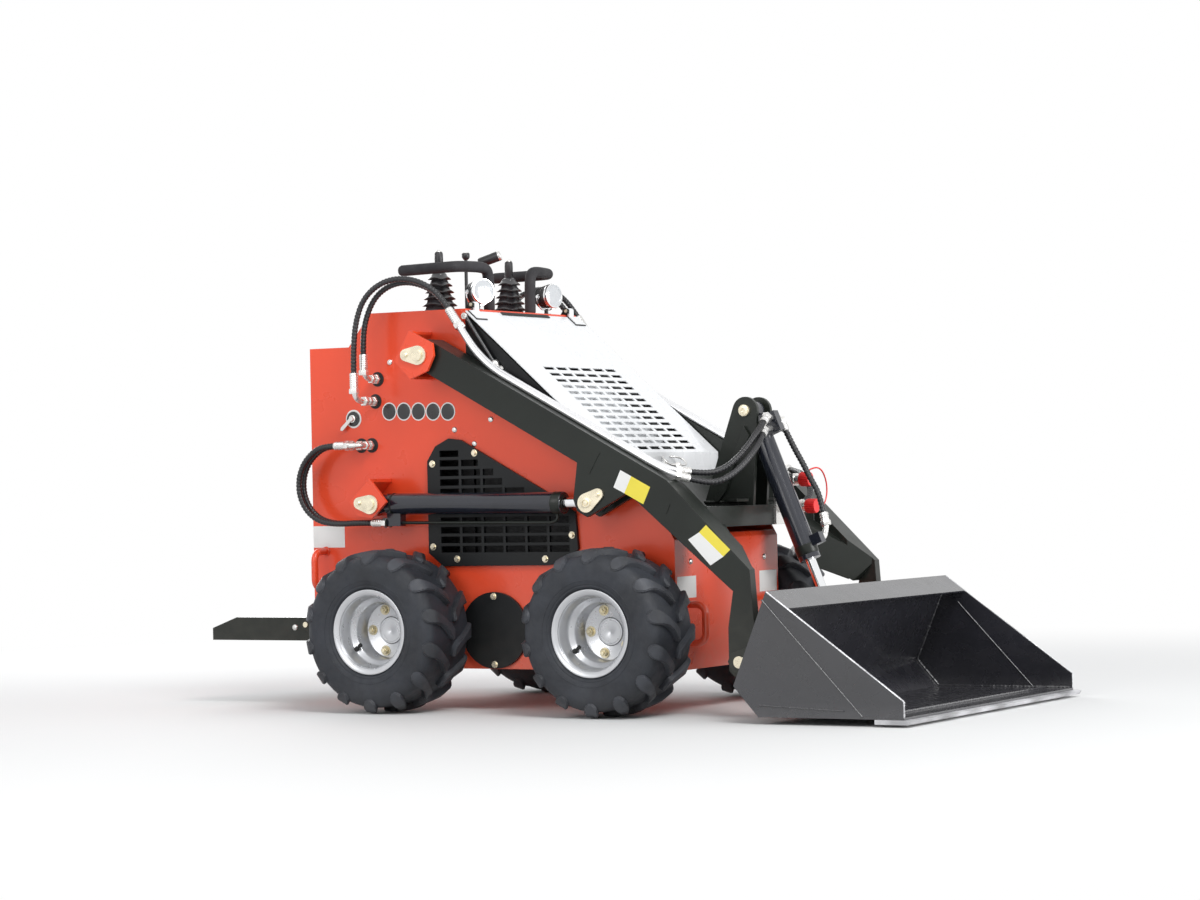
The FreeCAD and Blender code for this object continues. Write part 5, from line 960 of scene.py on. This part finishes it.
# Dust caps
# Red plastic caps with grooved rims over the two quick couplers, joined by a thin red strap in a loop.
paint(("coupler_caps",), cap_red)
TETHER = (
    (0.585, 0.095, 0.649), (0.602, 0.110, 0.662), (0.606, 0.150, 0.655), (0.604, 0.183, 0.620),
    (0.602, 0.188, 0.580), (0.600, 0.165, 0.548), (0.588, 0.149, 0.545))
RIDGES = 24
CAP_RADIUS = 0.0188
mesh = bmesh.new()
sweep(mesh, along(route_points(TETHER), 0.004)[0], lambda k: 0.0022, sides=8)
for y, z in ((0.130, 0.553), (0.095, 0.628)):
    for ridge in range(RIDGES):
        turn = ridge * math.tau / RIDGES
        start = (0.570, y + CAP_RADIUS * math.cos(turn), z + CAP_RADIUS * math.sin(turn))
        add(mesh, lathe(((0, 0), (0, 0.0014), (0.026, 0.0014), (0.026, 0)), sides=6), aim(start, (1, 0, 0)))
piece("cap_tether", mesh, cap_red, "arm_body")

# Floor and light
# A pale studio floor under an even pale surround, with a large soft key lamp above the bucket's near
# corner, a fill lamp to the right side, one ahead of the bucket and one low at the back.
def background_rays(tree):
    """1 for a ray from the camera, off a glossy surface or through a clear one, and 0 for any other."""
    path = tree.nodes.new("ShaderNodeLightPath")
    found = path.outputs["Is Camera Ray"]
    for name in ("Is Glossy Ray", "Is Transmission Ray"):
        either = tree.nodes.new("ShaderNodeMath")
        either.operation = "MAXIMUM"
        tree.links.new(found, either.inputs[0])
        tree.links.new(path.outputs[name], either.inputs[1])
        found = either.outputs["Value"]
    return found


mesh = bmesh.new()
bmesh.ops.create_grid(mesh, x_segments=1, y_segments=1, size=14)
data = bpy.data.meshes.new("floor")
mesh.to_mesh(data)
mesh.free()
floor = bpy.data.objects.new("floor", data)
stone = bpy.data.materials.new("studio_floor")
stone.use_nodes = True
nodes, links = stone.node_tree.nodes, stone.node_tree.links
ground = nodes["Principled BSDF"]
ground.inputs["Base Color"].default_value = (0.82, 0.82, 0.81, 1)
ground.inputs["Roughness"].default_value = 0.85
white_out = nodes.new("ShaderNodeEmission")
white_out.inputs["Strength"].default_value = 1
place = nodes.new("ShaderNodeTexCoord")
reach = nodes.new("ShaderNodeVectorMath")
reach.operation = "LENGTH"
links.new(place.outputs["Object"], reach.inputs[0])
fade = nodes.new("ShaderNodeMapRange")
fade.interpolation_type = "SMOOTHSTEP"
links.new(reach.outputs["Value"], fade.inputs["Value"])
fade.inputs["From Min"].default_value = 1.6
fade.inputs["From Max"].default_value = 4.5
seen = nodes.new("ShaderNodeMath")
seen.operation = "MULTIPLY"
links.new(background_rays(stone.node_tree), seen.inputs[0])
links.new(fade.outputs["Result"], seen.inputs[1])
blend = nodes.new("ShaderNodeMixShader")
links.new(seen.outputs["Value"], blend.inputs["Fac"])
links.new(ground.outputs["BSDF"], blend.inputs[1])
links.new(white_out.outputs["Emission"], blend.inputs[2])
links.new(blend.outputs["Shader"], nodes["Material Output"].inputs["Surface"])
floor.data.materials.append(stone)
scene.collection.objects.link(floor)

world = bpy.data.worlds.new("surround")
scene.world = world
world.use_nodes = True
nodes, links = world.node_tree.nodes, world.node_tree.links
sky = nodes["Background"]
sky.inputs["Color"].default_value = (0.92, 0.95, 1.0, 1)
sky.inputs["Strength"].default_value = 0.45
backdrop = nodes.new("ShaderNodeBackground")
backdrop.inputs["Color"].default_value = (1, 1, 1, 1)
backdrop.inputs["Strength"].default_value = 1
blend = nodes.new("ShaderNodeMixShader")
links.new(background_rays(world.node_tree), blend.inputs["Fac"])
links.new(sky.outputs["Background"], blend.inputs[1])
links.new(backdrop.outputs["Background"], blend.inputs[2])
links.new(blend.outputs["Shader"], nodes["World Output"].inputs["Surface"])
for name, place, power, width in (
        # name, where it hangs, watts, side
        ("key_lamp", (4.5, -3.5, 6.0), 300, 3.0),
        ("fill_lamp", (-1.0, -7.0, 3.5), 120, 4.0),
        ("front_lamp", (7.0, 0.6, 1.5), 240, 3.0),
        ("back_lamp", (-4.6, 4.4, 2.2), 200, 4.0)):
    light = bpy.data.lights.new(name, "AREA")
    light.energy = power
    light.size = width
    lamp = bpy.data.objects.new(name, light)
    lamp.location = place
    lamp.visible_camera = False
    lamp.rotation_euler = (-Vector(place)).to_track_quat("-Z", "Y").to_euler()
    scene.collection.objects.link(lamp)
